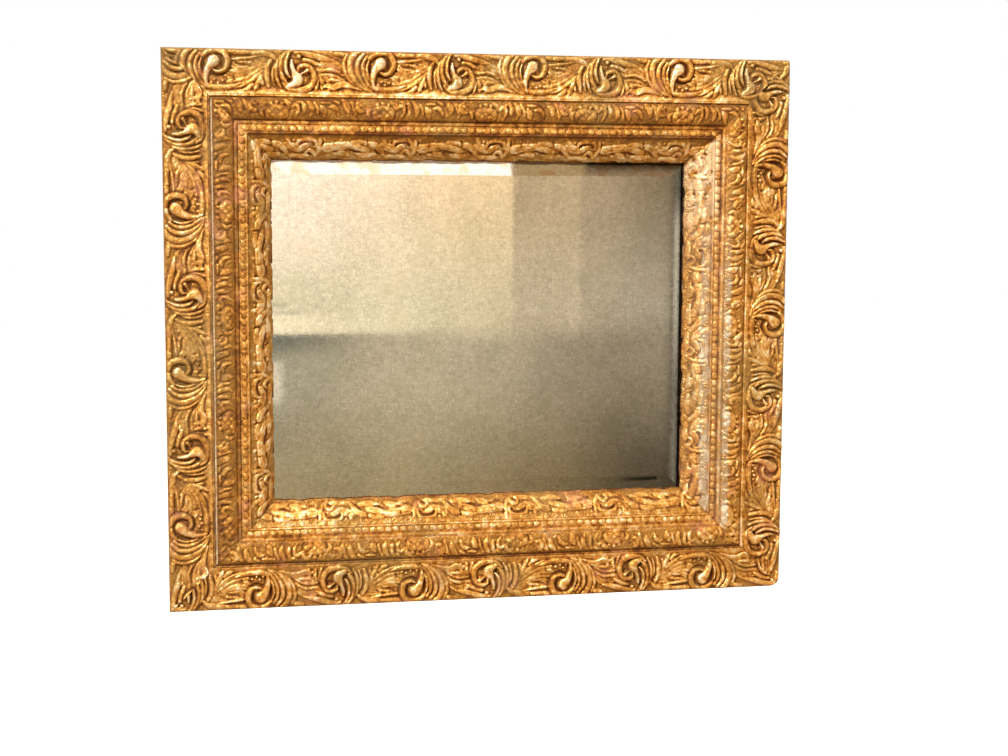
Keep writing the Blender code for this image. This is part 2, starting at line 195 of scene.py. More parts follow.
def scroll_a(at: float) -> tuple[Stroke, ...]:
    """The scroll that opens to the lower right, with its stem, leaf and the fronds behind it.

    Args:
        at: place of its eye in the pattern.

    Returns:
        Its strokes, lowest first.
    """
    field = fan(
        ((14, 14, 4, 1.6), (24, 19, 7, 2.6), (36, 22, 8, 2.6), (48, 18, 4, 2.0)),
        ((12, 28, 5, 1.8), (20, 31, 7, 2.8), (30, 30, 6, 2.8), (42, 24, 3, 2.4)),
        section=Section.HOLLOW, groove=0.7, tint=-0.03, rib=0.13)
    tops = fan(
        ((14, 4.4, 2.8, 3.2), (22, 4.2, 3.2, 3.6)), ((25, 4.6, 2.8, 3.2), (37, 4.4, 2.6, 3.0)),
        ((-54, 4, 2.6, 2.8), (-46, 4.8, 3.2, 3.6), (-41, 7, 1.8, 3.0)), groove=0.7, tint=-0.05, rib=0.06)
    veins = fan(
        ((18, 12.4, 1.8, 3.2), (28, 11.6, 2.2, 3.6), (40, 10, 1.6, 3.2), (50, 8, 1, 2.6)),
        ((-67, 23, 1.6, 2.6), (-59, 22.4, 2.2, 3.2), (-49, 26, 1.6, 2.8)),
        ((-64, 34.6, 1.6, 2.6), (-57, 34.4, 2.2, 3.2), (-47, 36.4, 1.6, 2.8)), groove=0.6, tint=0.02)
    berries = knobs((29, 15.6, 1.8, 3.4, 0.5), (37, 16.4, 1.6, 3.2, 0.5)) + cuts(
        ((22, 16.6, 1.2, -1.6), (27, 18.6, 1.7, -2.2), (33, 18.4, 1.6, -2.0), (38, 20.2, 1.1, -1.4)),
        ((41, 15, 1.4, -1.8), (44, 16.6, 1.0, -1.4)))
    stem = fan(
        ((14, 38.4, 3.2, 2.8), (26, 36.6, 3.4, 3.2), (37, 31.6, 2.8, 3.2), (46, 25, 2, 2.8),
         (52, 20.6, 1, 2.2)),
        ((8, 44, 3.0, 3.0), (22, 42.6, 3.4, 3.6), (35, 38.2, 3.2, 3.8), (45, 30.6, 2.4, 3.6),
         (52, 24, 1.2, 2.6)), section=Section.RIGHT, groove=0.8, tint=-0.04, rib=0.08)
    wedge = fan(
        ((50, 30, 1.4, 3), (47.4, 36, 3, 3.6), (43.8, 43, 3, 3.2), (42, 47.6, 1.2, 2)),
        ((40, 41, 2.4, 2.8), (35, 45.4, 2.8, 2.8), (30, 47, 1.2, 1.6)), groove=0.7, tint=0.04)
    pointed = fan(
        ((-68, 42, 2, 2.8), (-63, 41, 3.2, 3.4), (-57, 42.6, 4.0, 3.6), (-48, 39.4, 4, 3.4),
         (-37, 40.6, 3.4, 3.2), (-25, 45, 1.6, 2.4)), section=Section.RIGHT, tint=0.02, rib=0.1)
    fronds = fan(
        ((-41, 5, 2.2, 2.6), (-44.6, 14, 2.6, 3.2), (-43.4, 24, 2.6, 3.4), (-38.6, 33, 2.4, 3.2),
         (-32, 40, 1.2, 2.6)),
        ((-28, 1.5, 3, 3.2), (-34.6, 7, 4.2, 3.6), (-37.8, 16, 4.2, 3.8), (-36.4, 26, 4.2, 3.8),
         (-31.4, 35, 3.8, 3.7), (-23, 42.4, 2.8, 3.4), (-12, 47.4, 1.2, 2.4)),
        ((-22, 4, 2.6, 3.4), (-28.4, 12, 3.2, 4.4), (-29.6, 22, 3.4, 4.7), (-26.8, 31.4, 3.2, 4.5),
         (-20.6, 40, 2.4, 4.0), (-12, 46.4, 1.2, 3)), groove=0.8, tint=-0.02, rib=0.09)
    # Painted shade: the band's dark tint.
    band = fan(
        ((11, 2.6, 2.2, 3.2), (0, 3.0, 2.8, 3.8), (-9, 4.4, 3.2, 4.0), (-15.4, 9, 2.6, 3.8)),
        ((-18, 6.6, 2, 3.6), (-22.4, 14, 2.6, 4.2), (-23, 23, 3, 4.4), (-20, 33, 3, 4.4),
         (-14.4, 40.4, 3.2, 4.4), (-5, 44, 3.6, 4.6), (6, 44.6, 3.6, 4.4), (17, 43.4, 3, 3.8),
         (27, 40, 1.8, 3)),
        ((-16.4, 12, 1.2, 4.2), (-18.6, 20, 1.7, 4.8), (-17, 30, 1.9, 4.9), (-12.6, 38, 1.7, 4.8)),
        groove=1.2, tint=-0.1, rib=0.05)
    lobes = knobs(
        (-5.4, 39.6, 2.0, 3.5, 0.7), (-1.2, 35.8, 1.7, 3.3, 0.6), (2.4, 39.4, 1.9, 3.5, 0.6),
        (7.6, 37.0, 1.6, 3.1, 0.5), (12.6, 38.4, 1.6, 3.0, 0.5), (17.6, 36.4, 1.3, 2.7, 0.4)) + cuts(
        ((5, 33.6, 1.2, -1.0), (9, 33.4, 1.0, -0.9)))
    # Painted highlight: tint 0.5 marks the tail.
    tail = fan(
        ((-9.4, 45, 1.2, 4.4), (-11.4, 38, 2.4, 4.7), (-11.2, 29.6, 3.8, 4.9), (-8.0, 21.4, 5.0, 5.0),
         (-2.4, 14.2, 7.4, 5.0)), groove=1.6, cut=1.9, tint=0.5)
    # Painted shade: the hook's dark tint.
    hook = fan(
        ((1, 2.8, 2.6, 3.8), (8.8, 5.0, 3.7, 4.6), (12.6, 12, 3.9, 4.9), (12.2, 19.4, 3.7, 4.9),
         (8.4, 25.2, 3.1, 4.6), (2.2, 27.0, 2.5, 4.3), (-2.4, 25.2, 1.8, 3.8)),
        groove=1.9, cut=2.0, tint=-0.16, rib=0.12) + cuts(
        ((6.6, 10, 0.9, -1.6), (7.6, 16, 1.3, -2.2), (6.2, 20.6, 1.1, -1.8)),
        ((-5, 28.4, 1.4, -1.8), (2, 30.6, 2.0, -2.4), (9.4, 28.4, 1.5, -2)),
        ((19.4, 32, 1.8, -1.6), (20.4, 36, 1.4, -1.4)),
        ((-13, 12, 1.1, -2), (-14.8, 18, 1.5, -2.4), (-15, 25, 1.1, -2)))
    behind = field + tops + veins + berries + stem + wedge + pointed
    return moved(behind + fronds + band + lobes + tail + hook, at)


def scroll_b(at: float) -> tuple[Stroke, ...]:
    """The scroll that curls the other way round, with its nested fronds and small leaves.

    Args:
        at: place of its eye in the pattern.

    Returns:
        Its strokes, lowest first.
    """
    field = fan(
        ((-54, 14, 3, 1.8), (-44, 13, 6, 2.6), (-34, 14, 4, 2.4)),
        ((18, 21, 4, 2.0), (27, 19, 6.4, 2.6), (39, 19, 7, 2.4), (48, 26, 4, 2.2)),
        ((20, 33, 4, 2.2), (29, 32, 5.4, 2.8), (39, 33, 5, 2.6), (50, 38, 3, 2.2)),
        section=Section.HOLLOW, groove=0.7, tint=-0.03, rib=0.13)
    top = fan(
        ((-54, 5, 3, 3), (-42, 5.4, 4, 3.4), (-32, 8, 3.4, 3.6), (-26, 14, 1.8, 3)),
        ((-6, 4, 2.4, 3.4), (4, 4.4, 3.4, 3.8), (14, 7, 4, 3.8), (26, 10, 3.6, 3.6), (38, 12.4, 1.6, 2.6)),
        ((4, 12, 3, 3.4), (13, 14.4, 3.4, 3.6), (22, 18, 2.2, 3.2)), groove=0.8, tint=-0.04, rib=0.1)
    tips = knobs((-2, 8, 2.8, 4.2, 0.9)) + cuts(((1.6, 8.6, 1.6, -2.2),)) + knobs(
        (-34.6, 15, 3.0, 3.8, 0.9))
    lower = fan(
        ((16, 28, 2, 3), (18.6, 35, 2.6, 3.6), (17.4, 42, 2.8, 3.8), (16.4, 47, 1.6, 2.6)),
        ((23, 33, 2, 3), (24.6, 40, 2.8, 3.4), (24, 45, 2, 2.6)),
        ((30, 33, 2, 3), (32, 40.6, 2.8, 3.4), (32, 45.4, 2, 2.6)), tint=-0.06)
    nested = fan(
        ((-46.6, 28, 1.4, 2.8), (-49, 36, 2.6, 3.4), (-47.6, 45, 1.8, 2.8)),
        ((-40, 20, 1.6, 2.8), (-43.4, 30, 2.4, 3.4), (-42, 41, 1.8, 3.0)),
        ((-33, 13, 2, 3.2), (-37.0, 22, 3.4, 3.6), (-37.4, 32, 3.4, 3.6), (-35.4, 43, 2, 3)),
        ((-27, 16, 1.4, 3), (-30.6, 24, 1.8, 3.6), (-31, 33, 1.8, 3.6), (-29, 42, 1.2, 3)),
        ((-21, 8, 1.6, 3.2), (-25.6, 16, 2.4, 4.0), (-27, 26, 2.6, 4.3), (-25.8, 36, 2.4, 4.0),
         (-22, 44, 1.4, 3)), groove=0.8, tint=-0.03, rib=0.08)
    # Painted shade: the outer band's dark tint.
    outer = fan(
        ((-11, 1.6, 2.4, 3.4), (-18, 7, 2.8, 4.0), (-21.6, 16, 3, 4.3), (-21.8, 27, 3, 4.3),
         (-18, 37, 3, 4.2), (-10, 44.4, 3.2, 4.2)), groove=1.2, tint=-0.08, rib=0.07)
    inner = fan(
        ((-12.6, 4, 1.6, 3.8), (-16, 12, 2.2, 4.6), (-17, 20, 2.5, 4.9), (-15.6, 27, 2.3, 4.8),
         (-11.6, 32.6, 1.4, 4.2)), groove=1.7, cut=1.9)
    # Painted shade: the ring's dark tint.
    ring = fan(
        ((-3.6, 25, 1.6, 3.8), (-2.6, 21.2, 2.4, 4.6), (3, 18.2, 3.0, 4.8), (9.6, 20.0, 3.4, 4.9),
         (14.0, 26.4, 3.6, 4.9), (15.0, 33.4, 3.8, 4.9), (11.8, 41, 4.1, 4.9), (4, 45.6, 4.0, 4.8),
         (-5, 46.2, 3.6, 4.5), (-14, 44.4, 2.8, 4), (-20, 39, 1.6, 3.6)),
        groove=1.9, cut=2.1, tint=-0.16, rib=0.12)
    eye = fan(((-1, 28.6, 1.0, 3), (3.6, 26, 1.2, 3.4), (7.6, 23.6, 2.8, 4.4)), groove=1.2) + cuts(
        ((-0.6, 22.4, 1.5, -2.2), (2, 25, 1.3, -2)),
        ((4, 29.6, 1.4, -2), (8, 29.6, 1.2, -1.6), (10.6, 26.4, 0.9, -1.4)))
    # Painted highlight: tint 0.5 marks the bowl as a tail.
    bowl = fan(
        ((-10, 12.6, 1.8, 4.2), (-9.8, 19, 2.8, 4.8), (-7.6, 26, 3.2, 4.9), (-3.6, 34, 6.6, 5.0),
         (-6.4, 38.6, 5.6, 5.0), (-12.6, 42, 3.2, 4.4)), groove=1.6, cut=1.8, tint=0.5) + cuts(
        ((-12.4, 30, 1.6, -2), (-11.6, 35, 2.4, -2.6), (-14.6, 37, 1.4, -2)),
        ((-5, 18, 0.9, -1.8), (-4.6, 24, 1.3, -2.4)))
    return moved(field + top + tips + lower + nested + outer + inner + ring + eye + bowl, at)


def torus_strokes() -> tuple[Stroke, ...]:
    """One rosette of the half-round with the curl, hood, ribs, bud and leaf lobes up to the next."""
    dome = fan(((-6, 72.6, 8.2, 1.7), (0, 71.6, 9, 2.0), (6, 72.6, 8.2, 1.7)), groove=1.6, cut=1.8)
    petals = knobs(*((u, v, 4.0, 2.3, 0.5) for u, v in (
        (-9.0, 72.4), (-5, 67.8), (4.6, 67.6), (9.4, 72), (4.6, 76.6), (-5, 76.8))))
    heart = knobs((0, 72, 2.6, 2.4, 0.8)) + cuts(((0.6, 72, 0.9, -1.0),))
    hood = knobs((-7, 62.4, 2.4, 1.9, 0.9), (0, 60.6, 2.8, 2.1, 0.9), (5.8, 62.4, 2.2, 1.9, 0.9))
    ribs = fan(
        ((9, 59, 2.6, 1.6), (13.6, 62.6, 3.2, 2.0), (13.4, 68, 2.2, 1.6)),
        ((15.6, 67.6, 1.6, 1.6), (20.6, 63.6, 2.6, 2.1), (24.6, 66.4, 2.4, 2.0), (23.8, 72.6, 2, 1.8),
         (20, 78.6, 1.2, 1.2)), ((22, 58.6, 1.8, 1.6), (25.4, 60.6, 2.4, 2.0)),
        ((28.6, 58, 1.8, 1.4), (31, 65, 2.8, 1.9), (30.6, 73, 2, 1.4)), groove=0.8, tint=0.03, rib=0.08)
    bud = fan(
        ((35.6, 58.6, 2.0, 1.7), (39.4, 64.4, 3.4, 2.1), (40, 71, 3, 1.9), (38, 76.6, 1.6, 1.2)),
        ((42.8, 60, 1.8, 1.6), (46.4, 67, 2.2, 2.1), (47.4, 73.6, 1.6, 1.6)),
        ((51, 65, 1.8, 1.6), (53.6, 70, 4.2, 2.1), (54.4, 76.6, 2.4, 1.6)), groove=1.0)
    leaf = fan(
        ((51.6, 60.8, 1.6, 2.0), (57, 61, 2.0, 2.2), (62, 61.2, 1.6, 2.0)),
        ((60.6, 66, 1.8, 1.6), (65.4, 65.6, 3, 2.1), (69.6, 69.4, 2.6, 2.0), (71, 75.6, 1.4, 1.2)),
        ((66, 58.4, 1.8, 1.6), (71, 61, 2.4, 1.9)), groove=1.3)
    lobes = fan(
        ((76.4, 58, 2.8, 1.6), (80.6, 63.6, 4.2, 2.2), (82, 71, 2.8, 1.7)),
        ((85, 58.4, 2, 1.6), (89.6, 64, 3.6, 2.1), (91, 71.6, 2.8, 1.8), (90, 77, 1.2, 1.2)),
        ((93, 58, 2, 1.4), (96.6, 63, 2.6, 1.8)))
    curl = fan(
        ((-27, 58.6, 1.6, 1.4), (-31.6, 63, 3, 1.9), (-29, 69.6, 3, 1.9), (-23.6, 70.4, 1.8, 1.6)),
        ((-13.4, 67.6, 1.6, 1.2), (-18.4, 71.6, 2.8, 1.8), (-16.6, 77, 1.8, 1.2)), groove=1.3)
    pockets = cuts(((-21.6, 63.4, 1.6, -1.4), (-20.6, 66.4, 1.2, -1.2)),
                   ((27, 62, 0.9, -1.0), (27.4, 70, 1.2, -1.2)))
    return ribs + bud + leaf + lobes + curl + dome + petals + heart + hood + pockets


def sight_strokes() -> tuple[Stroke, ...]:
    """One spray of the sight slope: an arch, a stalk and broad ridged leaves, with dark pockets between."""
    mass = fan(
        ((17, 112, 4, 1.6), (23, 112.6, 5.6, 2.4), (31, 111, 5, 2.2), (40, 110.4, 5.4, 2.3),
         (50, 110, 4.4, 2.2), (60, 112.4, 4, 2.0), (70, 116, 3, 1.4)),
        ((52, 106, 2.4, 1.4), (60, 105.6, 3.2, 1.8), (68, 107, 2.6, 1.5)),
        ((-26, 110, 4, 1.8), (-18, 111.6, 5, 2.3), (-11, 113.4, 4.6, 2.2), (-2, 110.6, 3.4, 2.0)),
        ((32, 119.4, 2.6, 1.5), (40, 118.6, 3.6, 2.0), (48, 120.6, 2.4, 1.5)),
        ((58, 119.6, 2.2, 1.2), (68, 121, 3, 1.8), (80, 120, 2, 1.3)),
        ((73, 108, 3, 1.6), (79, 109.6, 4, 2.1), (85, 114, 3.2, 1.8), (90, 120, 1.8, 1.2)),
        ((-20, 122, 2.4, 1.2), (-10, 122.6, 3, 1.8), (0, 121.6, 2.4, 1.6)),
        groove=0.45, tint=0.03, rib=0.13)
    arch = fan(
        ((-13, 112, 1.8, 1.8), (-11.4, 105.6, 2.4, 2.2), (-5, 102.4, 2.8, 2.2), (3, 102.4, 2.8, 2.2),
         (8.6, 106, 2.4, 2.1), (10.4, 112, 1.8, 1.6)),
        ((13.6, 98, 2.4, 1.4), (14, 106, 2.6, 2.0), (13, 115, 2.6, 2.0), (9, 121.6, 2.2, 1.6)),
        ((-3, 118.6, 1.6, 1.6), (1, 115.4, 2, 2.1), (6, 117.4, 2.2, 2.1), (8.4, 122.4, 1.4, 1.4)),
        ((86, 98, 2.4, 1.2), (89.6, 103, 3, 1.7), (92, 109, 2.2, 1.4)), groove=0.8)
    tips = knobs(
        (19, 103, 2.0, 1.8, 0.9), (38, 103, 2.2, 1.6, 0.9), (-17, 104, 2.0, 1.6, 0.9),
        (72, 102.4, 1.8, 1.5, 0.9), (28.6, 103.4, 1.6, 1.3, 0.9))
    pockets = cuts(
        ((-10, 109.6, 1.8, -2.2), (-8, 107.4, 1.5, -1.8), (-3, 106.2, 1.0, -1.3), (3, 106.4, 1.1, -1.3),
         (6.6, 109.6, 1.4, -1.9)), ((17, 105.6, 1.2, -1.5), (17, 109, 1.3, -1.7)),
        ((30, 107.4, 1.2, -1.5), (30.4, 112, 1.1, -1.4)), ((31, 117, 1.2, -1.5), (34.6, 117.4, 1.4, -1.8)),
        ((20, 119.4, 1.1, -1.2), (26, 119.6, 1.3, -1.4)),
        ((44, 114, 1.2, -1.6), (49, 114.2, 1.5, -2.2), (56, 116.4, 1.5, -2.2), (62, 117, 0.9, -1.2)),
        ((49, 116.6, 1.4, -1.6), (50.4, 121, 1.0, -1.2)), ((69.6, 103, 1.0, -1.4), (71, 109.6, 1.3, -1.8)),
        ((0.6, 119.4, 1.2, -1.5), (3.4, 120.4, 1.2, -1.5)), ((79, 114.6, 1.3, -1.5), (84, 119, 1.3, -1.6)))
    return mass + arch + tips + pockets


def gaussian(field: np.ndarray, sigma: float, wrap: bool) -> np.ndarray:
    """A field after a Gaussian blur.

    Args:
        field: values on an even grid, along the moulding by across it.
        sigma: blur radius in grid steps.
        wrap: whether the grid wraps along the moulding.

    Returns:
        The blurred field.
    """
    reach = int(3 * sigma) + 1
    kernel = np.exp(-0.5 * (np.arange(-reach, reach + 1) / sigma) ** 2)
    kernel /= kernel.sum()
    for mode in ("wrap" if wrap else "edge", "edge"):
        padded = np.pad(field, ((reach, reach), (0, 0)), mode=mode)
        field = sum(w * padded[k:k + field.shape[0]] for k, w in enumerate(kernel)).T
    return field


class ReliefTile:
    """Height of the carving over one period of its pattern, on an even grid that wraps along the moulding."""

    STEP = 0.3
    DEEPEST = -1.4
    TONE_BLUR = 0.4

    def __init__(self, period: float, start: float, end: float) -> None:
        """Start from flat ground.

        Args:
            period: length of the pattern.
            start: inset of the tile's outer edge.
            end: inset of its inner edge.
        """
        self.period, self.start = period, start
        self.columns = int(round(period / self.STEP))
        self.pitch = period / self.columns
        self.u = np.arange(self.columns) * self.pitch
        self.v = start + np.arange(int((end - start) / self.STEP) + 1) * self.STEP
        self.height, self.tone = np.zeros((2, self.columns, len(self.v)))

    def carve(self, stroke: Stroke) -> None:
        """Lay a stroke over what is there, with its grooves, wherever it repeats in the tile."""
        curve = stroke.stations()
        reach = curve[:, 2].max() + stroke.cut + 0.5
        for turn in range(-2, 3):
            path = curve + (turn * self.period, 0, 0, 0)
            low, high = path[:, :2].min(0) - reach, path[:, :2].max(0) + reach
            i = np.nonzero((self.u >= low[0]) & (self.u <= high[0]))[0]
            j = np.nonzero((self.v >= low[1]) & (self.v <= high[1]))[0]
            if len(i) and len(j):
                self._lay(stroke, path, i, j)

    def _lay(self, stroke: Stroke, path: np.ndarray, i: np.ndarray, j: np.ndarray) -> None:
        """Carve one stroke into a block of the tile.

        Args:
            stroke: the stroke that is laid.
            path: its stations.
            i: the block's columns.
            j: its rows.
        """
        block = np.ix_(i, j)
        old, tone = self.height[block], self.tone[block]
        gu, gv = np.meshgrid(self.u[i], self.v[j], indexing="ij")
        away = (gu.ravel()[:, None] - path[:, 0]) ** 2 + (gv.ravel()[:, None] - path[:, 1]) ** 2
        near = (np.sqrt(away) - path[:, 2]).argmin(1)
        distance = np.sqrt(away[np.arange(len(near)), near]).reshape(gu.shape)
        station = path[near]
        half, crest = station[:, 2].reshape(gu.shape), station[:, 3].reshape(gu.shape)
        t = (np.gradient(path[:, :2], axis=0) if len(path) > 1 else np.zeros((1, 2)))[near]
        side = np.sign(t[:, 0] * (gv.ravel() - station[:, 1]) - t[:, 1] * (gu.ravel() - station[:, 0]))
        across = np.clip(distance / half, 0, 1) * np.where(side == 0, 1, side).reshape(gu.shape)
        inside = stroke.profile(across, crest)
        if stroke.section is Section.CUT:
            self.height[block] = np.where(distance < half, old + inside, old)
            return
        groove = stroke.groove * np.clip(1 - (distance - half) / stroke.cut, 0, 1)
        self.height[block] = np.where(distance < half, inside, np.maximum(old - groove, self.DEEPEST))
        # Tone inside the stroke: its tint, partly painted shade and painted highlight, and stripes that paint
        # the light and shade of leaf veins.
        veins = stroke.tint + stroke.rib * np.cos(3 * np.pi * across)
        self.tone[block] = np.where(distance < half, veins, tone)

    def finish(self, soften: float, hollow: float) -> None:
        """Soften the carving as cast and gilded ornament is, and work out its recesses, which are darkened
        partly as dirt and partly as painted shade, and its crests, which get a painted highlight.

        Args:
            soften: blur radius of the surface.
            hollow: blur radius that the surface is compared with to find its recesses.
        """
        self.height = gaussian(self.height, soften / self.STEP, True)
        self.cavity = self.height - gaussian(self.height, hollow / self.STEP, True)
        self.tone = gaussian(self.tone, self.TONE_BLUR / self.STEP, True)

    def sample(self, field: np.ndarray, u: np.ndarray, v: np.ndarray) -> np.ndarray:
        """The field's value at given places, between its grid points.

        Args:
            field: height, cavity or tone of this tile.
            u: places along the pattern.
            v: insets.

        Returns:
            Interpolated values.
        """
        x = (u / self.pitch) % self.columns
        y = np.clip((v - self.start) / self.STEP, 0, field.shape[1] - 1.001)
        i, j = x.astype(int) % self.columns, y.astype(int)
        a, b = x - x.astype(int), y - j
        k = (i + 1) % self.columns
        return ((field[i, j] * (1 - b) + field[i, j + 1] * b) * (1 - a)
                + (field[k, j] * (1 - b) + field[k, j + 1] * b) * a)


@dataclass(frozen=True)
class Pattern:
    """A carved pattern with its own places on each side.

    Attributes:
        strokes: what one period shows, in the order it is carved.
        period: length of the pattern.
        band: first and last inset that it covers.
        anchors: for each side, (place along the side, place in the pattern) pairs.
        soften: blur of the carving.
        hollow: size of the recesses that are darkened, partly as dirt and partly as painted shade.
    """

    strokes: tuple[Stroke, ...]
    period: float
    band: tuple[float, float]
    anchors: Anchors
    soften: float = 0.4
    hollow: float = 2.2

    def tile(self) -> ReliefTile:
        """The pattern carved once."""
        tile = ReliefTile(self.period, *self.band)
        for stroke in self.strokes:
            tile.carve(stroke)
        tile.finish(self.soften, self.hollow)
        return tile

    def along(self, side: Side, u: np.ndarray) -> np.ndarray:
        """Place in the pattern for places along a side, which the carver spaced a little unevenly."""
        known = np.array(self.anchors[side], float)
        (first, at_first), (last, at_last) = known[0], known[-1]
        inner = np.interp(u, known[:, 0], known[:, 1])
        return np.where(u < first, at_first + u - first, np.where(u > last, at_last + u - last, inner))


def paired(a: Places, b: Places, first: float, second: float) -> Anchors:
    """Anchors of a pattern whose two motifs take turns along each side.

    Args:
        a: places of the first motif on each side.
        b: places of the second motif.
        first: distance in the pattern from the first motif to the second.
        second: distance from the second to the next first.

    Returns:
        The pairs for each side.
    """
    anchors = {}
    for side in Side:
        eyes = sorted([(u, 0) for u in a[side]] + [(u, 1) for u in b[side]])
        here = first if eyes[0][1] else 0.0
        pairs = [(eyes[0][0], here)]
        for (_, kind), (u, _) in zip(eyes, eyes[1:]):
            here += second if kind else first
            pairs.append((u, here))
        anchors[side] = tuple(pairs)
    return anchors


def repeated(places: Places, period: float) -> Anchors:
    """Anchors of a pattern with one motif."""
    return {side: tuple((u, k * period) for k, u in enumerate(us)) for side, us in places.items()}


SCROLL_STEP = 93.0
SCROLL_PERIOD = 187.0
ROSETTE_PERIOD = 124.0
SPRAY_PERIOD = 113.5
FRIEZE = Pattern(
    scroll_b(SCROLL_STEP) + scroll_a(0.0), SCROLL_PERIOD, (0.0, 55.0),
    paired({Side.TOP: (62, 256, 439, 622), Side.RIGHT: (140, 327, 510),
            Side.BOTTOM: (106, 286, 473, 659), Side.LEFT: (104, 288, 480)},
           {Side.TOP: (160, 349, 531, 716), Side.RIGHT: (49, 237, 420, 604),
            Side.BOTTOM: (198, 383, 568), Side.LEFT: (196, 382, 573)},
           SCROLL_STEP, SCROLL_PERIOD - SCROLL_STEP))
HALF_ROUND = Pattern(
    torus_strokes(), ROSETTE_PERIOD, (55.0, 81.0),
    repeated({Side.TOP: (132, 257, 380, 503, 625), Side.RIGHT: (81, 205, 329, 449, 568),
              Side.BOTTOM: (98, 220, 343, 467, 592), Side.LEFT: (100, 226, 350, 474, 590)}, ROSETTE_PERIOD),
    0.4, 1.9)
SLOPE = Pattern(
    sight_strokes(), SPRAY_PERIOD, (96.0, 128.0),
    repeated({Side.TOP: (169, 283, 396, 509), Side.RIGHT: (131, 245, 359, 473),
              Side.BOTTOM: (227, 341, 455, 570), Side.LEFT: (152, 267, 381, 495)}, SPRAY_PERIOD), 0.45, 2.0)

# How pale the tails of the scrolls are painted on each side: a painted highlight.
TAIL_HIGHLIGHT = {Side.TOP: 0.18, Side.RIGHT: 0.0, Side.BOTTOM: 0.0, Side.LEFT: 0.08}
# Strips of each side that are painted lighter or darker, mostly painted highlight and painted shade for how
# the light falls on that side, partly dirt: inset from, inset to, lighter or darker.
SIDE_STRIP_LIGHT_AND_DIRT = {
    Side.TOP: ((44, 48, -0.08), (50.6, 52.8, 0.2), (55.2, 60, -0.34), (60, 68, -0.1), (68, 80, -0.18),
               (80, 84.4, -0.32), (94.3, 97.6, -0.42), (98, 104, -0.18), (104, 126, 0.1), (122, 127, 0.1)),
    Side.RIGHT: ((44, 52, -0.16), (80, 84, 0.2), (86.2, 89.4, -0.34), (97, 127, -0.05), (98.2, 100, -0.14)),
    Side.BOTTOM: ((52.3, 57.5, -0.48), (76, 80, -0.16), (80, 83, 0.24), (83.6, 87, -0.12), (87, 95, 0.1),
                  (95, 99.6, 0.2), (98, 104, 0.06), (124, 127, -0.14)),
    Side.LEFT: ((2, 44, -0.05), (44, 48, -0.16), (48, 51, -0.1), (52, 54.4, -0.42), (54.8, 56.3, 0.16),
                (56.8, 59.4, -0.42), (57, 68, -0.27), (68, 80, -0.14), (80, 84, -0.08), (82.4, 86.4, -0.36),
                (97, 104, 0.08), (104, 126, 0.05)),
}


@dataclass(frozen=True)
class Row:
    """A line of points along a moulding.

    Attributes:
        m: inset.
        h: height above the wall, before carving.
        carving: share of the pattern's height that it takes.
        hard: whether the surface has a crisp edge here.
        shown: whether it belongs to the finely divided front.
        bare: whether the strip up to the next row is ungilded wood.
    """

    m: float
    h: float
    carving: float = 0.0
    hard: bool = False
    shown: bool = True
    bare: bool = False


def plain(*places: tuple[float, float], hard: tuple[int, ...] = ()) -> list[Row]:
    """Uncarved rows of the front at (inset, height) places, with crisp edges at the ones named by number."""
    return [Row(m, h, hard=k in hard) for k, (m, h) in enumerate(places)]


def hidden(*places: tuple[float, float], bare: bool = False) -> list[Row]:
    """Crisp rows of the sides and the back at (inset, height) places."""
    return [Row(m, h, hard=True, shown=False, bare=bare) for m, h in places]


def spread(start: tuple[float, float], end: tuple[float, float], pitch: float,
           carving: float = 1.0) -> list[Row]:
    """Rows at an even spacing on a straight strip between two (inset, height) places.

    Args:
        start: where the first row lies.
        end: where the strip ends, without a row there.
        pitch: about how far apart the rows are.
        carving: share of the pattern's height that they take.

    Returns:
        The rows.
    """
    (m0, h0), (m1, h1) = start, end
    count = max(1, int(round(np.hypot(m1 - m0, h1 - h0) / pitch)))
    return [Row(m0 + (m1 - m0) * t, h0 + (h1 - h0) * t, carving) for t in np.arange(count) / count]


def ridge(place: np.ndarray, centre: float, width: float) -> np.ndarray:
    """1 at the centre, falling evenly to 0 at width on either side of it."""
    return np.clip(1 - np.abs(place - centre) / width, 0, 1)


def placed(name: str, data: bpy.types.ID) -> bpy.types.Object:
    """A new object in the scene."""
    obj = bpy.data.objects.new(name, data)
    bpy.context.scene.collection.objects.link(obj)
    return obj


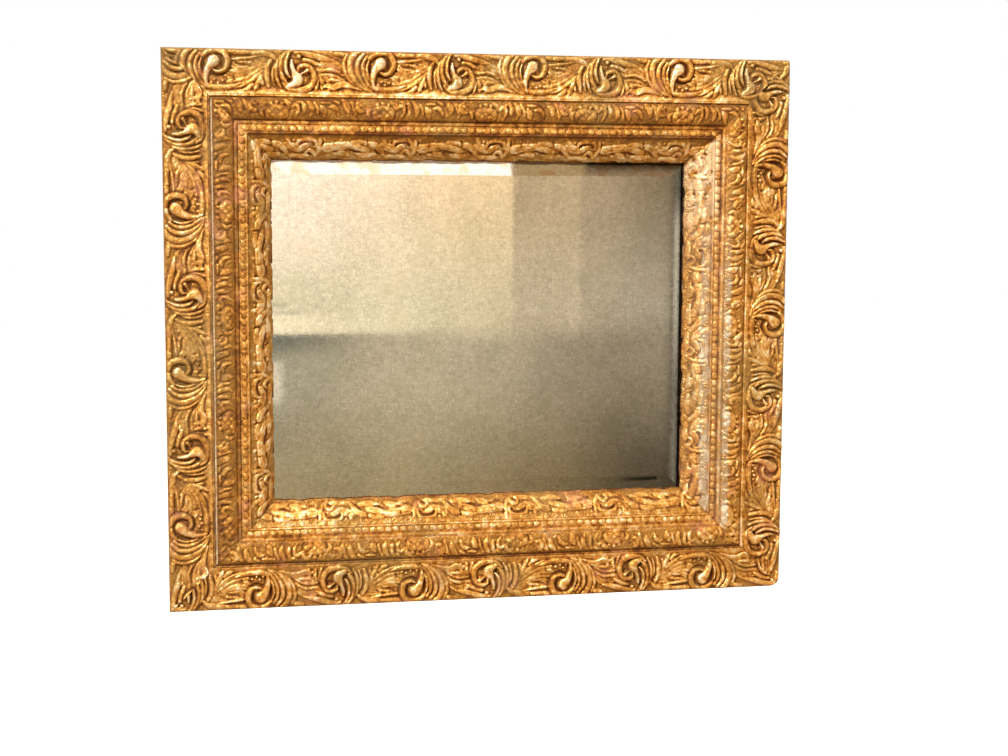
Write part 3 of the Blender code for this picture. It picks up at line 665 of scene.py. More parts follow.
class RailMesh:
    """A mitred length of moulding, made as rows of points from mitre to mitre."""

    # Blur in grid steps and share of each scale of unevenness.
    WEAR = ((1.6, 0.45), (4.5, 1.0), (14.0, 0.8))
    WEAR_TONE = 0.045
    STRIP_BLUR = 1.5

    def __init__(self, side: Side, rows: list[Row], pitch: float) -> None:
        """Lay out the rows.

        Args:
            side: the side of the frame.
            rows: the section, once round.
            pitch: distance between neighbouring points along the side.
        """
        self.side, self.rows = side, rows
        self.count = int(side.length / pitch) + 1
        inset = self.each("m")[:, None] + HALF_GAP
        self.u = inset + np.linspace(0, 1, self.count) * (side.length - 2 * inset)
        self.m, self.h = (np.repeat(self.each(key)[:, None], self.count, 1) for key in ("m", "h"))
        self.relief, self.ground = np.full_like(self.h, FLAT), np.zeros_like(self.h)

    def each(self, key: str) -> np.ndarray:
        """One attribute of all the rows."""
        return np.array([getattr(row, key) for row in self.rows])

    def carve(self, pattern: Pattern, tile: ReliefTile, gain: float) -> None:
        """Raise the pattern on the rows that carry it, and paint its tone: recesses darker, partly as dirt
        and partly as painted shade, crests paler as a painted highlight, and the strokes' tints.

        Args:
            pattern: the pattern.
            tile: the pattern carved once.
            gain: how strongly the recesses are darkened, as dirt and painted shade, and the crests lightened
                as a painted highlight.
        """
        share, inset = self.each("carving"), self.each("m")
        chosen = (share > 0) & (inset >= pattern.band[0]) & (inset <= pattern.band[1])
        along = pattern.along(self.side, self.u[chosen])
        height, hollow, tone = (tile.sample(field, along, self.m[chosen])
                                for field in (tile.height, tile.cavity, tile.tone))
        self.h[chosen] += height * share[chosen][:, None]
        hollow = hollow * share[chosen][:, None]
        tail = np.clip((tone - 0.2) / 0.3, 0, 1)
        # Recesses darker, partly dirt and partly painted shade; crests paler, a painted highlight.
        self.relief[chosen] += gain * np.where(hollow < 0, hollow, 0.3 * hollow)
        # Stroke tints: painted shade on hooks and rings, and the tails' painted highlight for this side.
        self.relief[chosen] += np.minimum(tone, 0.15) * (1 - tail) + tail * TAIL_HIGHLIGHT[self.side]
        self.ground[chosen] = np.clip(1 - np.abs(height) / GROUND_DEPTH, 0, 1)

    def wear(self, seed: int, amount: float) -> None:
        """Leave the front uneven, as worn and mended compo is.

        Args:
            seed: seed of the unevenness.
            amount: its depth.
        """
        chance = np.random.default_rng(seed)
        shown = self.each("shown")
        for sigma, share in self.WEAR:
            field = gaussian(chance.standard_normal(self.h.shape), sigma, False)
            field *= share / field.std()
            self.h[shown] += amount * field[shown]
            self.relief[shown] += self.WEAR_TONE * field[shown]

    def age(self) -> None:
        """Lighten or darken whole strips of the front: mostly painted highlight and painted shade for how the
        light falls on each side, partly dirt.
        """
        for start, end, shift in SIDE_STRIP_LIGHT_AND_DIRT[self.side]:
            inside = np.clip((self.m - start) / self.STRIP_BLUR + 0.5, 0, 1)
            self.relief += shift * inside * np.clip((end - self.m) / self.STRIP_BLUR + 0.5, 0, 1)

    def line(self, place: np.ndarray, lines: tuple[tuple[float, float, float], ...]) -> None:
        """Lighten crests and darken quirks along the moulding: painted highlights and painted shade.

        Args:
            place: inset of each point.
            lines: (inset, half width, lighter or darker) of each.
        """
        for centre, width, shift in lines:
            self.relief += shift * ridge(place, centre, width)

    def round_corners(self) -> None:
        """Wear the outer corners round: the square by each is drawn in to a quarter disc."""
        places = (self.u, self.side.length - self.u)
        for at_end, (radius, place) in enumerate(zip(self.side.corner_radii, places)):
            if radius:
                x, y = radius - place, radius - self.m
                inside = (x > 0) & (y > 0)
                share = np.where(inside, np.maximum(x, y) / np.maximum(np.hypot(x, y), 1e-9), 1.0)
                place = np.where(inside, radius - x * share, place)
                self.m = np.where(inside, radius - y * share, self.m)
                self.u = self.side.length - place if at_end else place

    def build(self, name: str, gilding: bpy.types.Material, wood: bpy.types.Material) -> bpy.types.Object:
        """Make the mesh object.

        Args:
            name: object name.
            gilding: finish of the front and sides.
            wood: finish of the bare back.

        Returns:
            The closed, outward-facing piece.
        """
        self.h = np.minimum(self.h, FRONT_LIMIT)
        self.round_corners()
        points = self.side.place(self.u, self.m, self.h).reshape(-1, 3)
        rows, n = len(self.rows), self.count
        i, j = np.meshgrid(np.arange(rows), np.arange(n - 1), indexing="ij")
        k = (i + 1) % rows
        quads = np.stack([i * n + j, k * n + j, k * n + j + 1, i * n + j + 1], axis=-1).reshape(-1, 4)
        start = np.arange(rows) * n
        loops = np.concatenate([quads.ravel(), start[::-1], start + n - 1])
        totals = np.concatenate([np.full(len(quads), 4), [rows, rows]])
        mesh = bpy.data.meshes.new(name)
        mesh.vertices.add(len(points))
        mesh.vertices.foreach_set("co", points.ravel())
        mesh.loops.add(len(loops))
        mesh.loops.foreach_set("vertex_index", loops)
        mesh.polygons.add(len(totals))
        mesh.polygons.foreach_set("loop_start", np.concatenate([[0], np.cumsum(totals)[:-1]]))
        bare = np.repeat(self.each("bare").astype(int), n - 1)
        mesh.polygons.foreach_set("material_index", np.concatenate([bare, [1, 1]]))
        mesh.update(calc_edges=True)
        mesh.validate()
        for key, field in (("relief", self.relief), ("ground", self.ground)):
            mesh.attributes.new(key, "FLOAT", "POINT").data.foreach_set("value", field.ravel())
        mesh.materials.append(gilding)
        mesh.materials.append(wood)
        self._finish_edges(mesh)
        return placed(name, mesh)

    def _finish_edges(self, mesh: bpy.types.Mesh) -> None:
        """Shade smooth with crisp arrises, and thin out the flat hidden strips."""
        n, rows = self.count, len(self.rows)
        hard, unseen = self.each("hard"), ~self.each("shown")
        bm = bmesh.new()
        bm.from_mesh(mesh)
        for face in bm.faces:
            face.smooth = len(face.verts) == 4
        thin_edges = []
        for edge in bm.edges:
            a, b = (vert.index // n for vert in edge.verts)
            if a == b:
                edge.smooth = not hard[a]
            elif unseen[a] and unseen[b]:
                thin_edges.append(edge)
        inner = unseen & np.roll(unseen, 1) & np.roll(unseen, -1)
        thin_verts = [vert for vert in bm.verts if inner[vert.index // n]]
        bmesh.ops.dissolve_limit(bm, angle_limit=radians(0.3), verts=thin_verts, edges=thin_edges)
        bmesh.ops.recalc_face_normals(bm, faces=bm.faces)
        if bm.calc_volume(signed=True) < 0:
            bmesh.ops.reverse_faces(bm, faces=bm.faces)
        bm.to_mesh(mesh)
        bm.free()


@dataclass(frozen=True)
class OuterMoulding:
    """The frieze with the hollow outer side.

    Attributes:
        pitch_along: spacing of points along a side.
        pitch_across: spacing of rows on the carved front.
        set_back: how much smaller the back is than the front on each side.
        back_inner: inset of the back's inner edge.
        hollow: start and rise of the hollow in the side.
        ground: height of the frieze's ground.
        cove: start, width and rise of the cove inside the frieze.
        lip: inset and underside of the inner lip.
        lines: quirks with painted shade, and crests and the cove's strip with painted highlights, as
            RailMesh.line takes them.
    """

    pitch_along: float = 0.92
    pitch_across: float = 0.7
    set_back: float = 10.0
    back_inner: float = 46.0
    hollow: tuple[float, float] = (18.0, 21.0)
    ground: float = 45.0
    cove: tuple[float, float, float] = (42.0, 9.4, 3.3)
    lip: tuple[float, float] = (54.75, 34.0)
    lines: tuple[tuple[float, float, float], ...] = (
        (52.2, 0.8, -0.2), (54.8, 0.5, -0.1), (53.5, 0.8, 0.14), (48.5, 4.0, 0.1))

    def section(self) -> list[Row]:
        """The section's rows, from the back's inner edge round the outside to the inner lip."""
        base, rise = self.hollow
        rows = hidden((self.back_inner, 0), bare=True) + hidden((self.set_back, 0))
        for turn in np.linspace(0, 90, 7):
            a = radians(turn)
            rows.append(Row(self.set_back * np.cos(a), base + rise * np.sin(a), hard=turn in (0, 90),
                            shown=False))
        rows.append(Row(0, 41.4, shown=False))
        rows += [Row(0.2, 42.8, 0.1), Row(0.6, 43.8, 0.35), Row(1.2, 44.5, 0.7), Row(1.9, 44.85, 0.9)]
        start, width, height = self.cove
        rows += spread((2.6, self.ground), (start, self.ground), self.pitch_across)
        for t in np.linspace(0, 1, 14):
            carving = float(np.clip(1.6 - 1.5 * t, 0, 1))
            rows.append(Row(start + width * t, self.ground + height * t ** 1.5, carving))
        rows += plain((51.8, 48.05), (52.2, 47.8), (52.7, 47.95), (53.5, 48.3), (54.2, 48.1), (54.7, 47.0),
                      hard=(5,))
        return rows + hidden(self.lip, (self.back_inner, self.lip[1]))

    def build(self, side: Side, tile: ReliefTile, gilding: bpy.types.Material,
              wood: bpy.types.Material) -> bpy.types.Object:
        """One side of the frieze.

        Args:
            side: which side.
            tile: the carved frieze pattern.
            gilding: front finish.
            wood: back finish.

        Returns:
            The piece.
        """
        rail = RailMesh(side, self.section(), self.pitch_along)
        rail.carve(FRIEZE, tile, 0.34)
        # Raised parts a little paler, and the outermost strip darker: painted shade where the edge rolls
        # over.
        rail.relief += 0.05 * (rail.h - self.ground - 0.5) / 4 - 0.12 * (rail.m < 1.5)
        # Painted shade in the quirks and painted highlights on the crests.
        rail.line(rail.m, self.lines)
        rail.wear(11 + len(side.value), 0.16)
        rail.age()
        rail.ground *= np.clip((44.5 - rail.m) / 3, 0, 1) * np.clip(rail.m / 3, 0, 1)
        return rail.build(f"frieze_{side.value}", gilding, wood)


@dataclass(frozen=True)
class InnerMoulding:
    """The leafy half-round, listel, bead channel and scalloped sight slope.

    Attributes:
        pitch_along: spacing of points along a side.
        pitch_across: spacing of rows on the carved front.
        outside: inset of the outer face below and above its step, and height of the step.
        back: height of the back.
        torus: inset of the half-round's middle and its half width.
        feet: height of the half-round's outer and inner foot and of its crest.
        slope: start and end of the sight slope, as (inset, height).
        rebate: inset of the rebate, and height of the lip's back.
        sight: inset of the sight edge.
        swell: how far the slope's leafy middle stands forward.
        scallop: how far the sight edge waves in and out.
        lines: quirks with painted shade and crests with painted highlights, as RailMesh.line takes them.
    """

    pitch_along: float = 1.15
    pitch_across: float = 0.9
    outside: tuple[float, float, float] = (46.3, 54.9, 33.7)
    back: float = 4.0
    torus: tuple[float, float] = (68.2, 12.9)
    feet: tuple[float, float, float] = (45.6, 42.8, 48.1)
    slope: tuple[tuple[float, float], tuple[float, float]] = ((104.0, 37.2), (126.6, 19.9))
    rebate: tuple[float, float] = (119.2, 16.5)
    sight: float = 127.0
    swell: float = 1.9
    scallop: float = 1.3
    lines: tuple[tuple[float, float, float], ...] = (
        (55.2, 1.0, -0.14), (81.7, 0.9, -0.2), (86.4, 1.0, -0.24), (94.9, 0.8, -0.16), (97.6, 1.2, -0.34),
        (84.0, 1.4, 0.16), (96.1, 1.0, 0.14))

    def section(self) -> list[Row]:
        """The section's rows, from the back round the outside and over the front to the rebate."""
        low, high, step = self.outside
        outer_foot, inner_foot, crest = self.feet
        middle, reach = self.torus
        rows = hidden((low, self.back), (low, step), (high, step), (high, outer_foot))
        for angle in np.linspace(0, 180, 31):
            up, foot = np.sin(radians(angle)), outer_foot if angle < 90 else inner_foot
            rows.append(Row(middle - reach * np.cos(radians(angle)), foot + (crest - foot) * up ** 0.8,
                            min(1.0, 1.3 * up), hard=angle in (0, 180)))
        rows += plain((81.8, 42.7), (82.4, 44.1), (83.0, 44.4), (85.0, 44.2), (85.5, 43.9), (85.8, 42.4),
                      hard=(0, 5))
        rows += plain((86.6, 42.1), (87.2, 42.4), (94.6, 42.4), (95.2, 42.5), (95.5, 43.5), (96.8, 43.5),
                      (97.2, 42.6), (97.3, 40.4), hard=(0, 3, 7))
        rows += spread((98.0, 39.9), self.slope[0], 1.3, 0.35)
        for row in spread(*self.slope, self.pitch_across):
            bulge = np.sin(np.pi * np.clip((row.m - 103) / 19, 0, 1)) ** 1.5
            rows.append(replace(row, h=row.h + self.swell * bulge))
        rebate, lip_back = self.rebate
        rows += [Row(self.sight, 19.2, 0.5), *plain((self.sight, 18.6), (self.sight, lip_back), hard=(1,))]
        return rows + hidden((rebate, lip_back)) + hidden((rebate, self.back), bare=True)

    def build(self, side: Side, tiles: tuple[ReliefTile, ReliefTile], gilding: bpy.types.Material,
              wood: bpy.types.Material) -> bpy.types.Object:
        """One side of the inner moulding.

        Args:
            side: which side.
            tiles: the carved half-round and sight patterns.
            gilding: front finish.
            wood: back finish.

        Returns:
            The piece.
        """
        rail = RailMesh(side, self.section(), self.pitch_along)
        base = rail.m.copy()
        rail.carve(HALF_ROUND, tiles[0], 0.42)
        rail.carve(SLOPE, tiles[1], 0.4)
        rail.wear(31 + len(side.value), 0.14)
        rail.age()
        # Painted shade in the quirks and painted highlights on the crests.
        rail.line(base, self.lines)
        # The lip's inner face in the rebate takes the darkest tone: painted shade.
        rail.relief[(base > 119) & (rail.h < 18.9)] = 0.0
        self._wave(rail, base)
        return rail.build(f"inner_moulding_{side.value}", gilding, wood)

    def _wave(self, rail: RailMesh, base: np.ndarray) -> None:
        """Let the sight edge wave in and out, less and less up the slope.

        Args:
            rail: the rail.
            base: inset of its points.
        """
        turn = 2 * np.pi * SLOPE.along(rail.side, rail.u) / SPRAY_PERIOD
        wave = -0.5 + 0.6 * np.sin(2 * turn + 0.6) + 0.5 * np.sin(5 * turn + 1.9)
        share = np.clip((base - 116) / 11, 0, 1) ** 2 * (rail.h > self.rebate[1] + 0.1)
        corner = np.clip((np.minimum(rail.u, rail.side.length - rail.u) - base) / 14, 0, 1)
        rail.m = rail.m + np.minimum(wave, 0) * self.scallop * share * corner


class Signal:
    """A node's value that can be written in sums, such as 1 - worn * 0.3."""

    def __init__(self, graph: "Graph", socket: bpy.types.NodeSocket) -> None:
        """Take a node's output."""
        self.graph, self.socket = graph, socket

    def __add__(self, other: object) -> "Signal":
        """Sum."""
        return self.graph.math("ADD", self, other)

    def __sub__(self, other: object) -> "Signal":
        """Difference."""
        return self.graph.math("SUBTRACT", self, other)

    def __rsub__(self, other: object) -> "Signal":
        """Difference from a number."""
        return self.graph.math("SUBTRACT", other, self)

    def __mul__(self, other: object) -> "Signal":
        """Product."""
        return self.graph.math("MULTIPLY", self, other)

    def __abs__(self) -> "Signal":
        """Size without its sign."""
        return self.graph.math("ABSOLUTE", self)

    __radd__, __rmul__ = __add__, __mul__

    def clamped(self) -> "Signal":
        """The same sum, held between 0 and 1."""
        self.socket.node.use_clamp = True
        return self

    def step(self, low: object, high: object) -> "Signal":
        """0 below low and 1 above high, smoothly between."""
        return self.graph.out("ShaderNodeMapRange", {"Value": self, "From Min": low, "From Max": high},
                              interpolation_type="SMOOTHSTEP")

    def near(self, centre: float, inner: float, outer: float) -> "Signal":
        """1 within inner of the centre and 0 beyond outer."""
        return 1 - abs(self - centre).step(inner, outer)

    def between(self, start: float, full: float, fading: float, end: float) -> "Signal":
        """0 up to start, 1 from full to fading, and 0 again from end."""
        return self.step(start, full) * (1 - self.step(fading, end))


class Graph:
    """A helper that adds nodes to a tree and links them."""

    def __init__(self, tree: bpy.types.NodeTree) -> None:
        """Work on a node tree."""
        self.tree = tree

    def feed(self, socket: bpy.types.NodeSocket, value: object) -> None:
        """Link a signal to an input, or set the input's own value."""
        if isinstance(value, Signal):
            self.tree.links.new(value.socket, socket)
        elif socket.type == "RGBA":
            socket.default_value = (*value, 1.0)
        else:
            socket.default_value = value

    def add(self, kind: str, inputs: dict | None = None, **settings: object) -> bpy.types.Node:
        """Add a node.

        Args:
            kind: node type.
            inputs: values or signals by input name or number.
            settings: node properties.

        Returns:
            The node.
        """
        node = self.tree.nodes.new(kind)
        for key, value in settings.items():
            setattr(node, key, value)
        for key, value in (inputs or {}).items():
            self.feed(node.inputs[key], value)
        return node

    def out(self, kind: str, inputs: dict | None = None, output: int | str = 0,
            **settings: object) -> Signal:
        """Add a node, as add does, and take one of its outputs."""
        return Signal(self, self.add(kind, inputs, **settings).outputs[output])

    def math(self, operation: str, a: object, b: object = 0.0) -> Signal:
        """One arithmetic step."""
        return self.out("ShaderNodeMath", {0: a, 1: b}, operation=operation)

    def place(self) -> Signal:
        """Place on the object."""
        return self.out("ShaderNodeTexCoord", output="Object")

    def split(self, vector: Signal) -> tuple[Signal, ...]:
        """The three parts of a vector."""
        node = self.add("ShaderNodeSeparateXYZ", {"Vector": vector})
        return tuple(Signal(self, part) for part in node.outputs)

    def stretched(self, vector: Signal, scale: tuple[float, float, float]) -> Signal:
        """Places drawn together by a scale, which draws a pattern out."""
        return self.out("ShaderNodeMapping", {"Vector": vector, "Scale": scale})

    def noise(self, vector: Signal, scale: float, detail: float = 3.0, roughness: float = 0.55) -> Signal:
        """Noise between 0 and 1."""
        return self.out("ShaderNodeTexNoise",
                        {"Vector": vector, "Scale": scale, "Detail": detail, "Roughness": roughness})

    def ramp(self, value: Signal, *stops: tuple[float, tuple]) -> Signal:
        """A colour ramp's colour for a value, from its (place, colour) stops."""
        node = self.add("ShaderNodeValToRGB", {"Fac": value})
        elements = node.color_ramp.elements
        while len(elements) < len(stops):
            elements.new(0.5)
        for element, (place, colour) in zip(elements, stops):
            element.position, element.color = place, (*colour, 1.0)
        return Signal(self, node.outputs[0])

    def mix(self, share: object, a: object, b: object) -> Signal:
        """Mix two colours."""
        return self.out("ShaderNodeMix", {0: share, 6: a, 7: b}, 2, data_type="RGBA")

    def fade(self, value: Signal, low: object, high: object, a: object, b: object) -> Signal:
        """One colour below low and another above high."""
        return self.mix(value.step(low, high), a, b)

    def glaze(self, base: Signal, *coats: tuple[object, tuple]) -> Signal:
        """A colour under thin coats, each given as (share, colour), in the order they are laid."""
        for share, colour in coats:
            base = self.mix(share, base, colour)
        return base

    def dress(self, shader: bpy.types.Node, base: Signal, roughness: Signal, height: Signal,
              strength: float, distance: float) -> None:
        """Feed a shader's colour, roughness and bump.

        Args:
            shader: the Principled BSDF.
            base: its colour.
            roughness: its roughness.
            height: height of the fine relief.
            strength: strength of the bump.
            distance: its depth.
        """
        bump = self.out("ShaderNodeBump", {"Height": height, "Strength": strength, "Distance": distance})
        for key, value in (("Base Color", base), ("Roughness", roughness), ("Normal", bump)):
            self.feed(shader.inputs[key], value)


def add_socket(tree: bpy.types.NodeTree, way: str, name: str, kind: str) -> None:
    """Add a named socket, whose way is INPUT or OUTPUT, to a node group."""
    tree.interface.new_socket(name=name, in_out=way, socket_type=f"NodeSocket{kind}")


def new_material(name: str) -> tuple[bpy.types.Material, Graph, bpy.types.Node]:
    """A material with a helper for its nodes and its shader."""
    material = bpy.data.materials.new(name)
    material.use_nodes = True
    return material, Graph(material.node_tree), material.node_tree.nodes["Principled BSDF"]


@dataclass(frozen=True)
class BeadRow:
    """The row of low, blunt beads in the channel, made with Geometry Nodes.

    Attributes:
        inset: middle of the row from the outer edge.
        pitch: distance between beads.
        size: bead length, width and height above the channel.
        floor: height of the channel above the wall.
        crease: how blunt the beads are.
        unevenness: how far their sizes differ.
        crest: relief tone at the foot and on the top of a bead: painted shade at the foot and a painted
            highlight on top.
        shades: sides whose beads are painted darker or paler, as painted shade and light on that side.
    """

    inset: float = 91.1
    pitch: float = 9.11
    size: tuple[float, float, float] = (11.2, 8.2, 2.1)
    floor: float = 42.2
    crease: float = 0.12
    unevenness: float = 0.06
    crest: tuple[float, float] = (0.36, 0.58)
    shades: tuple[tuple[Side, float], ...] = ((Side.LEFT, -0.1), (Side.BOTTOM, 0.12))

    def tree(self) -> bpy.types.NodeTree:
        """The node tree: a line of points that carries a flattened, slightly uneven bead on each."""
        tree = bpy.data.node_groups.new("bead_row", "GeometryNodeTree")
        for name, kind in (("Count", "Int"), ("Start", "Vector"), ("Step", "Vector"),
                           ("Bead Size", "Vector"), ("Unevenness", "Float"), ("Shade", "Float"),
                           ("Seed", "Int"), ("Finish", "Material")):
            add_socket(tree, "INPUT", name, kind)
        add_socket(tree, "OUTPUT", "Geometry", "Geometry")
        g = Graph(tree)
        given = {s.name: Signal(g, s) for s in g.add("NodeGroupInput").outputs}
        line = g.out("GeometryNodeMeshLine", {"Count": given["Count"], "Start Location": given["Start"],
                                              "Offset": given["Step"]})
        ball = g.out("GeometryNodeSubdivisionSurface", {"Mesh": g.out("GeometryNodeMeshCube"), "Level": 2,
                                                        "Edge Crease": self.crease})
        depth = g.split(g.out("GeometryNodeInputPosition"))[1]
        # Painted shade at each bead's foot and a painted highlight on its top, shifted by the side's painted
        # shade.
        crest = g.out("ShaderNodeMapRange", {"Value": depth, "From Min": -0.12, "From Max": -0.46,
                                             "To Min": self.crest[0], "To Max": self.crest[1]})
        toned = g.out("GeometryNodeStoreNamedAttribute",
                      {"Name": "relief", "Geometry": ball, "Value": crest + given["Shade"]})
        bead = g.out("GeometryNodeSetShadeSmooth", {"Geometry": toned})
        chance = g.out("FunctionNodeRandomValue", {"Seed": given["Seed"], "Min": 1 - given["Unevenness"],
                                                   "Max": given["Unevenness"] + 1}, data_type="FLOAT_VECTOR")
        scale = g.out("ShaderNodeVectorMath", {0: given["Bead Size"], 1: chance}, operation="MULTIPLY")
        row = g.out("GeometryNodeInstanceOnPoints", {"Points": line, "Instance": bead, "Scale": scale})
        real = g.out("GeometryNodeRealizeInstances", {"Geometry": row})
        done = g.out("GeometryNodeSetMaterial", {"Geometry": real, "Material": given["Finish"]})
        g.add("NodeGroupOutput", {"Geometry": done})
        return tree

    def build(self, side: Side, tree: bpy.types.NodeTree, gilding: bpy.types.Material) -> bpy.types.Object:
        """The beads of one side as a plain mesh.

        Args:
            side: which side.
            tree: the node tree.
            gilding: finish.

        Returns:
            The piece.
        """
        span = side.length - 2 * self.inset
        count = int(span / self.pitch)
        centres = self.inset + span / count * np.array([0.5, 1.5])
        first, second = side.place(centres, np.full(2, self.inset), np.full(2, self.floor))
        length, width, height = (s * MM for s in self.size)
        size = (length, 2 * height, width) if side.level else (width, 2 * height, length)
        carrier = placed("carrier", bpy.data.meshes.new("carrier"))
        modifier = carrier.modifiers.new("beads", "NODES")
        modifier.node_group = tree
        keys = {item.name: item.identifier for item in tree.interface.items_tree if item.in_out == "INPUT"}
        for key, value in (("Count", count), ("Start", tuple(first)), ("Step", tuple(second - first)),
                           ("Bead Size", size), ("Unevenness", self.unevenness),
                           ("Shade", dict(self.shades).get(side, 0.0)), ("Seed", 7 + len(side.value)),
                           ("Finish", gilding)):
            modifier[keys[key]] = value
        bpy.context.view_layer.update()
        graph = bpy.context.evaluated_depsgraph_get()
        mesh = bpy.data.meshes.new_from_object(carrier.evaluated_get(graph), depsgraph=graph)
        bpy.data.objects.remove(carrier)
        mesh.name = f"bead_row_{side.value}"
        return placed(mesh.name, mesh)


@dataclass(frozen=True)
class OldGilding:
    """Worn gold over dark red-brown, pale where it is rubbed and dark where dirt has gathered, with the
    painted highlights and painted shade that the relief tone carries.
    """

    name: str

    @staticmethod
    def group() -> bpy.types.NodeTree:
        """The shared finish: colour, roughness, metal and height from the relief tone, which carries painted
        highlights and painted shade, and from the place.
        """
        tree = bpy.data.node_groups.new("old_gilding_tones", "ShaderNodeTree")
        for way, sockets in (("INPUT", ("Vector", "Relief", "Ground")),
                             ("OUTPUT", ("Color", "Roughness", "Metallic", "Height"))):
            for name in sockets:
                add_socket(tree, way, name, name if name in ("Vector", "Color") else "Float")
        g = Graph(tree)
        place, relief, ground = (Signal(g, s) for s in g.add("NodeGroupInput").outputs[:3])
        patch, speck = g.noise(place, 42.0, 4.0, 0.6), g.noise(place, 120.0, 3.0, 0.6)
        fine, grain = g.noise(place, 230.0, 3.0, 0.6), g.noise(place, 900.0, 2.0)
        # The relief tone carries painted highlights and painted shade; the noises add rubbed and dirty
        # patches.
        worn = relief + (patch - 0.5) * 0.8 + (speck - 0.5) * 1.15 + (fine - 0.5) * 0.9
        line = OldGilding.pale_arris_highlight(g, place)
        base = g.ramp(
            worn, (0.02, (0.13, 0.036, 0.002)), (0.2, (0.26, 0.088, 0.007)), (0.4, (0.50, 0.22, 0.036)),
            (0.54, (0.68, 0.335, 0.075)), (0.7, (0.86, 0.53, 0.195)), (0.88, (1.0, 0.82, 0.54)))
        pink, olive = g.noise(place, 26.0, 2.0).step(0.58, 0.72), g.noise(place, 9.0).step(0.5, 0.68)
        grime = g.noise(place, 31.0, 3.0, 0.6).step(0.53, 0.66)
        base = g.glaze(base, (pink * 0.42, (0.62, 0.27, 0.16)), (olive * 0.35, (0.34, 0.27, 0.10)),
                       (grime * 0.42, (0.29, 0.17, 0.05)))
        base = OldGilding.zones(g, base, place, patch, worn)
        # Painted highlight: the pale line along the left frieze's inner edge.
        base = g.glaze(base, (line * 0.9, (0.84, 0.71, 0.52)),
                       (ground * (0.25 + patch * 0.6), (0.26, 0.12, 0.018)))
        gold = worn.step(0.1, 0.7)
        cells = g.out("ShaderNodeTexVoronoi", {"Vector": place, "Scale": 520.0})
        g.add("NodeGroupOutput", {
            "Color": base,
            "Roughness": (0.62 + gold * (1 - line) * -0.24 + (fine - 0.5) * 0.2).clamped(),
            "Metallic": (0.25 + (gold - line) * 0.5).clamped(),
            "Height": cells * ground * 0.9 + (fine * 1.1 + grain * 0.2) + speck * 2.6})
        return tree

    @staticmethod
    def pale_arris_highlight(g: Graph, place: Signal) -> Signal:
        """A painted highlight: the pale line along the inner edge of the left frieze, where its rounded arris
        catches the light.
        """
        x, _, z = g.split(place)
        return x.near(-0.3262, 0.0008, 0.0013) * z.near(-0.303, 0.274, 0.276)

    @staticmethod
    def zones(g: Graph, base: Signal, place: Signal, patch: Signal, worn: Signal) -> Signal:
        """Where whole parts of the frame have aged otherwise, and where a painted highlight lies on the upper
        right.

        Args:
            g: helper of the group.
            base: colour so far.
            place: place on the object.
            patch: broad unevenness.
            worn: how far the gold is rubbed, with the painted highlights and painted shade of the relief
                tone.

        Returns:
            The colour with an olive left side, a dark corner at the upper left, silvery wear on the lower
            right and a painted highlight of cream gold on the upper right.
        """
        x, _, z = g.split(place)
        across = x + (patch - 0.5) * 0.014
        left, corner = (x * -1).step(0.24, 0.36), (z - x).step(0.32, 0.40)
        mitred = (across + z).step(-0.252, -0.249) * (across - z).step(0.356, 0.43)
        low, beside = (z * -1).step(0.12, 0.30), abs(across - 0.2912).near(0.0122, 0.003, 0.0075)
        flats = 1 - worn.step(0.42, 0.62) * 0.75
        bared = beside * (mitred * low * (flats * g.noise(place, 75.0).step(0.3, 0.46)))
        bared = (bared * 0.85 + mitred * (across.near(0.2815, 0.0255, 0.0305) * (patch * 0.2))).clamped()
        # A painted highlight: cream gold on the sight slope at the upper right.
        upper = z.step(-0.22, -0.12) * (across - z).step(0.354, 0.36)
        cream = across.near(0.272, 0.016, 0.024) * upper * (g.noise(place, 60.0).step(0.4, 0.5) * 0.6)
        return g.glaze(base, (left * (patch * 0.28), (0.34, 0.27, 0.12)),
                       (corner * 0.45, (0.24, 0.17, 0.07)), (bared, (0.62, 0.54, 0.41)),
                       (cream, (1.0, 0.80, 0.54)))

    def material(self, group: bpy.types.NodeTree) -> bpy.types.Material:
        """The finish as a material."""
        material, g, shader = new_material(self.name)
        relief, ground = (g.out("ShaderNodeAttribute", output="Fac", attribute_name=key)
                          for key in ("relief", "ground"))
        gilding_tones = g.add("ShaderNodeGroup", node_tree=group)
        for key, value in (("Vector", g.place()), ("Relief", relief), ("Ground", ground)):
            g.feed(gilding_tones.inputs[key], value)
        base, roughness, metallic, height = (Signal(g, s) for s in gilding_tones.outputs)
        g.dress(shader, base, roughness, height, 0.75, 0.0011)
        g.feed(shader.inputs["Metallic"], metallic)
        shader.inputs["Specular IOR Level"].default_value = 0.3
        return material


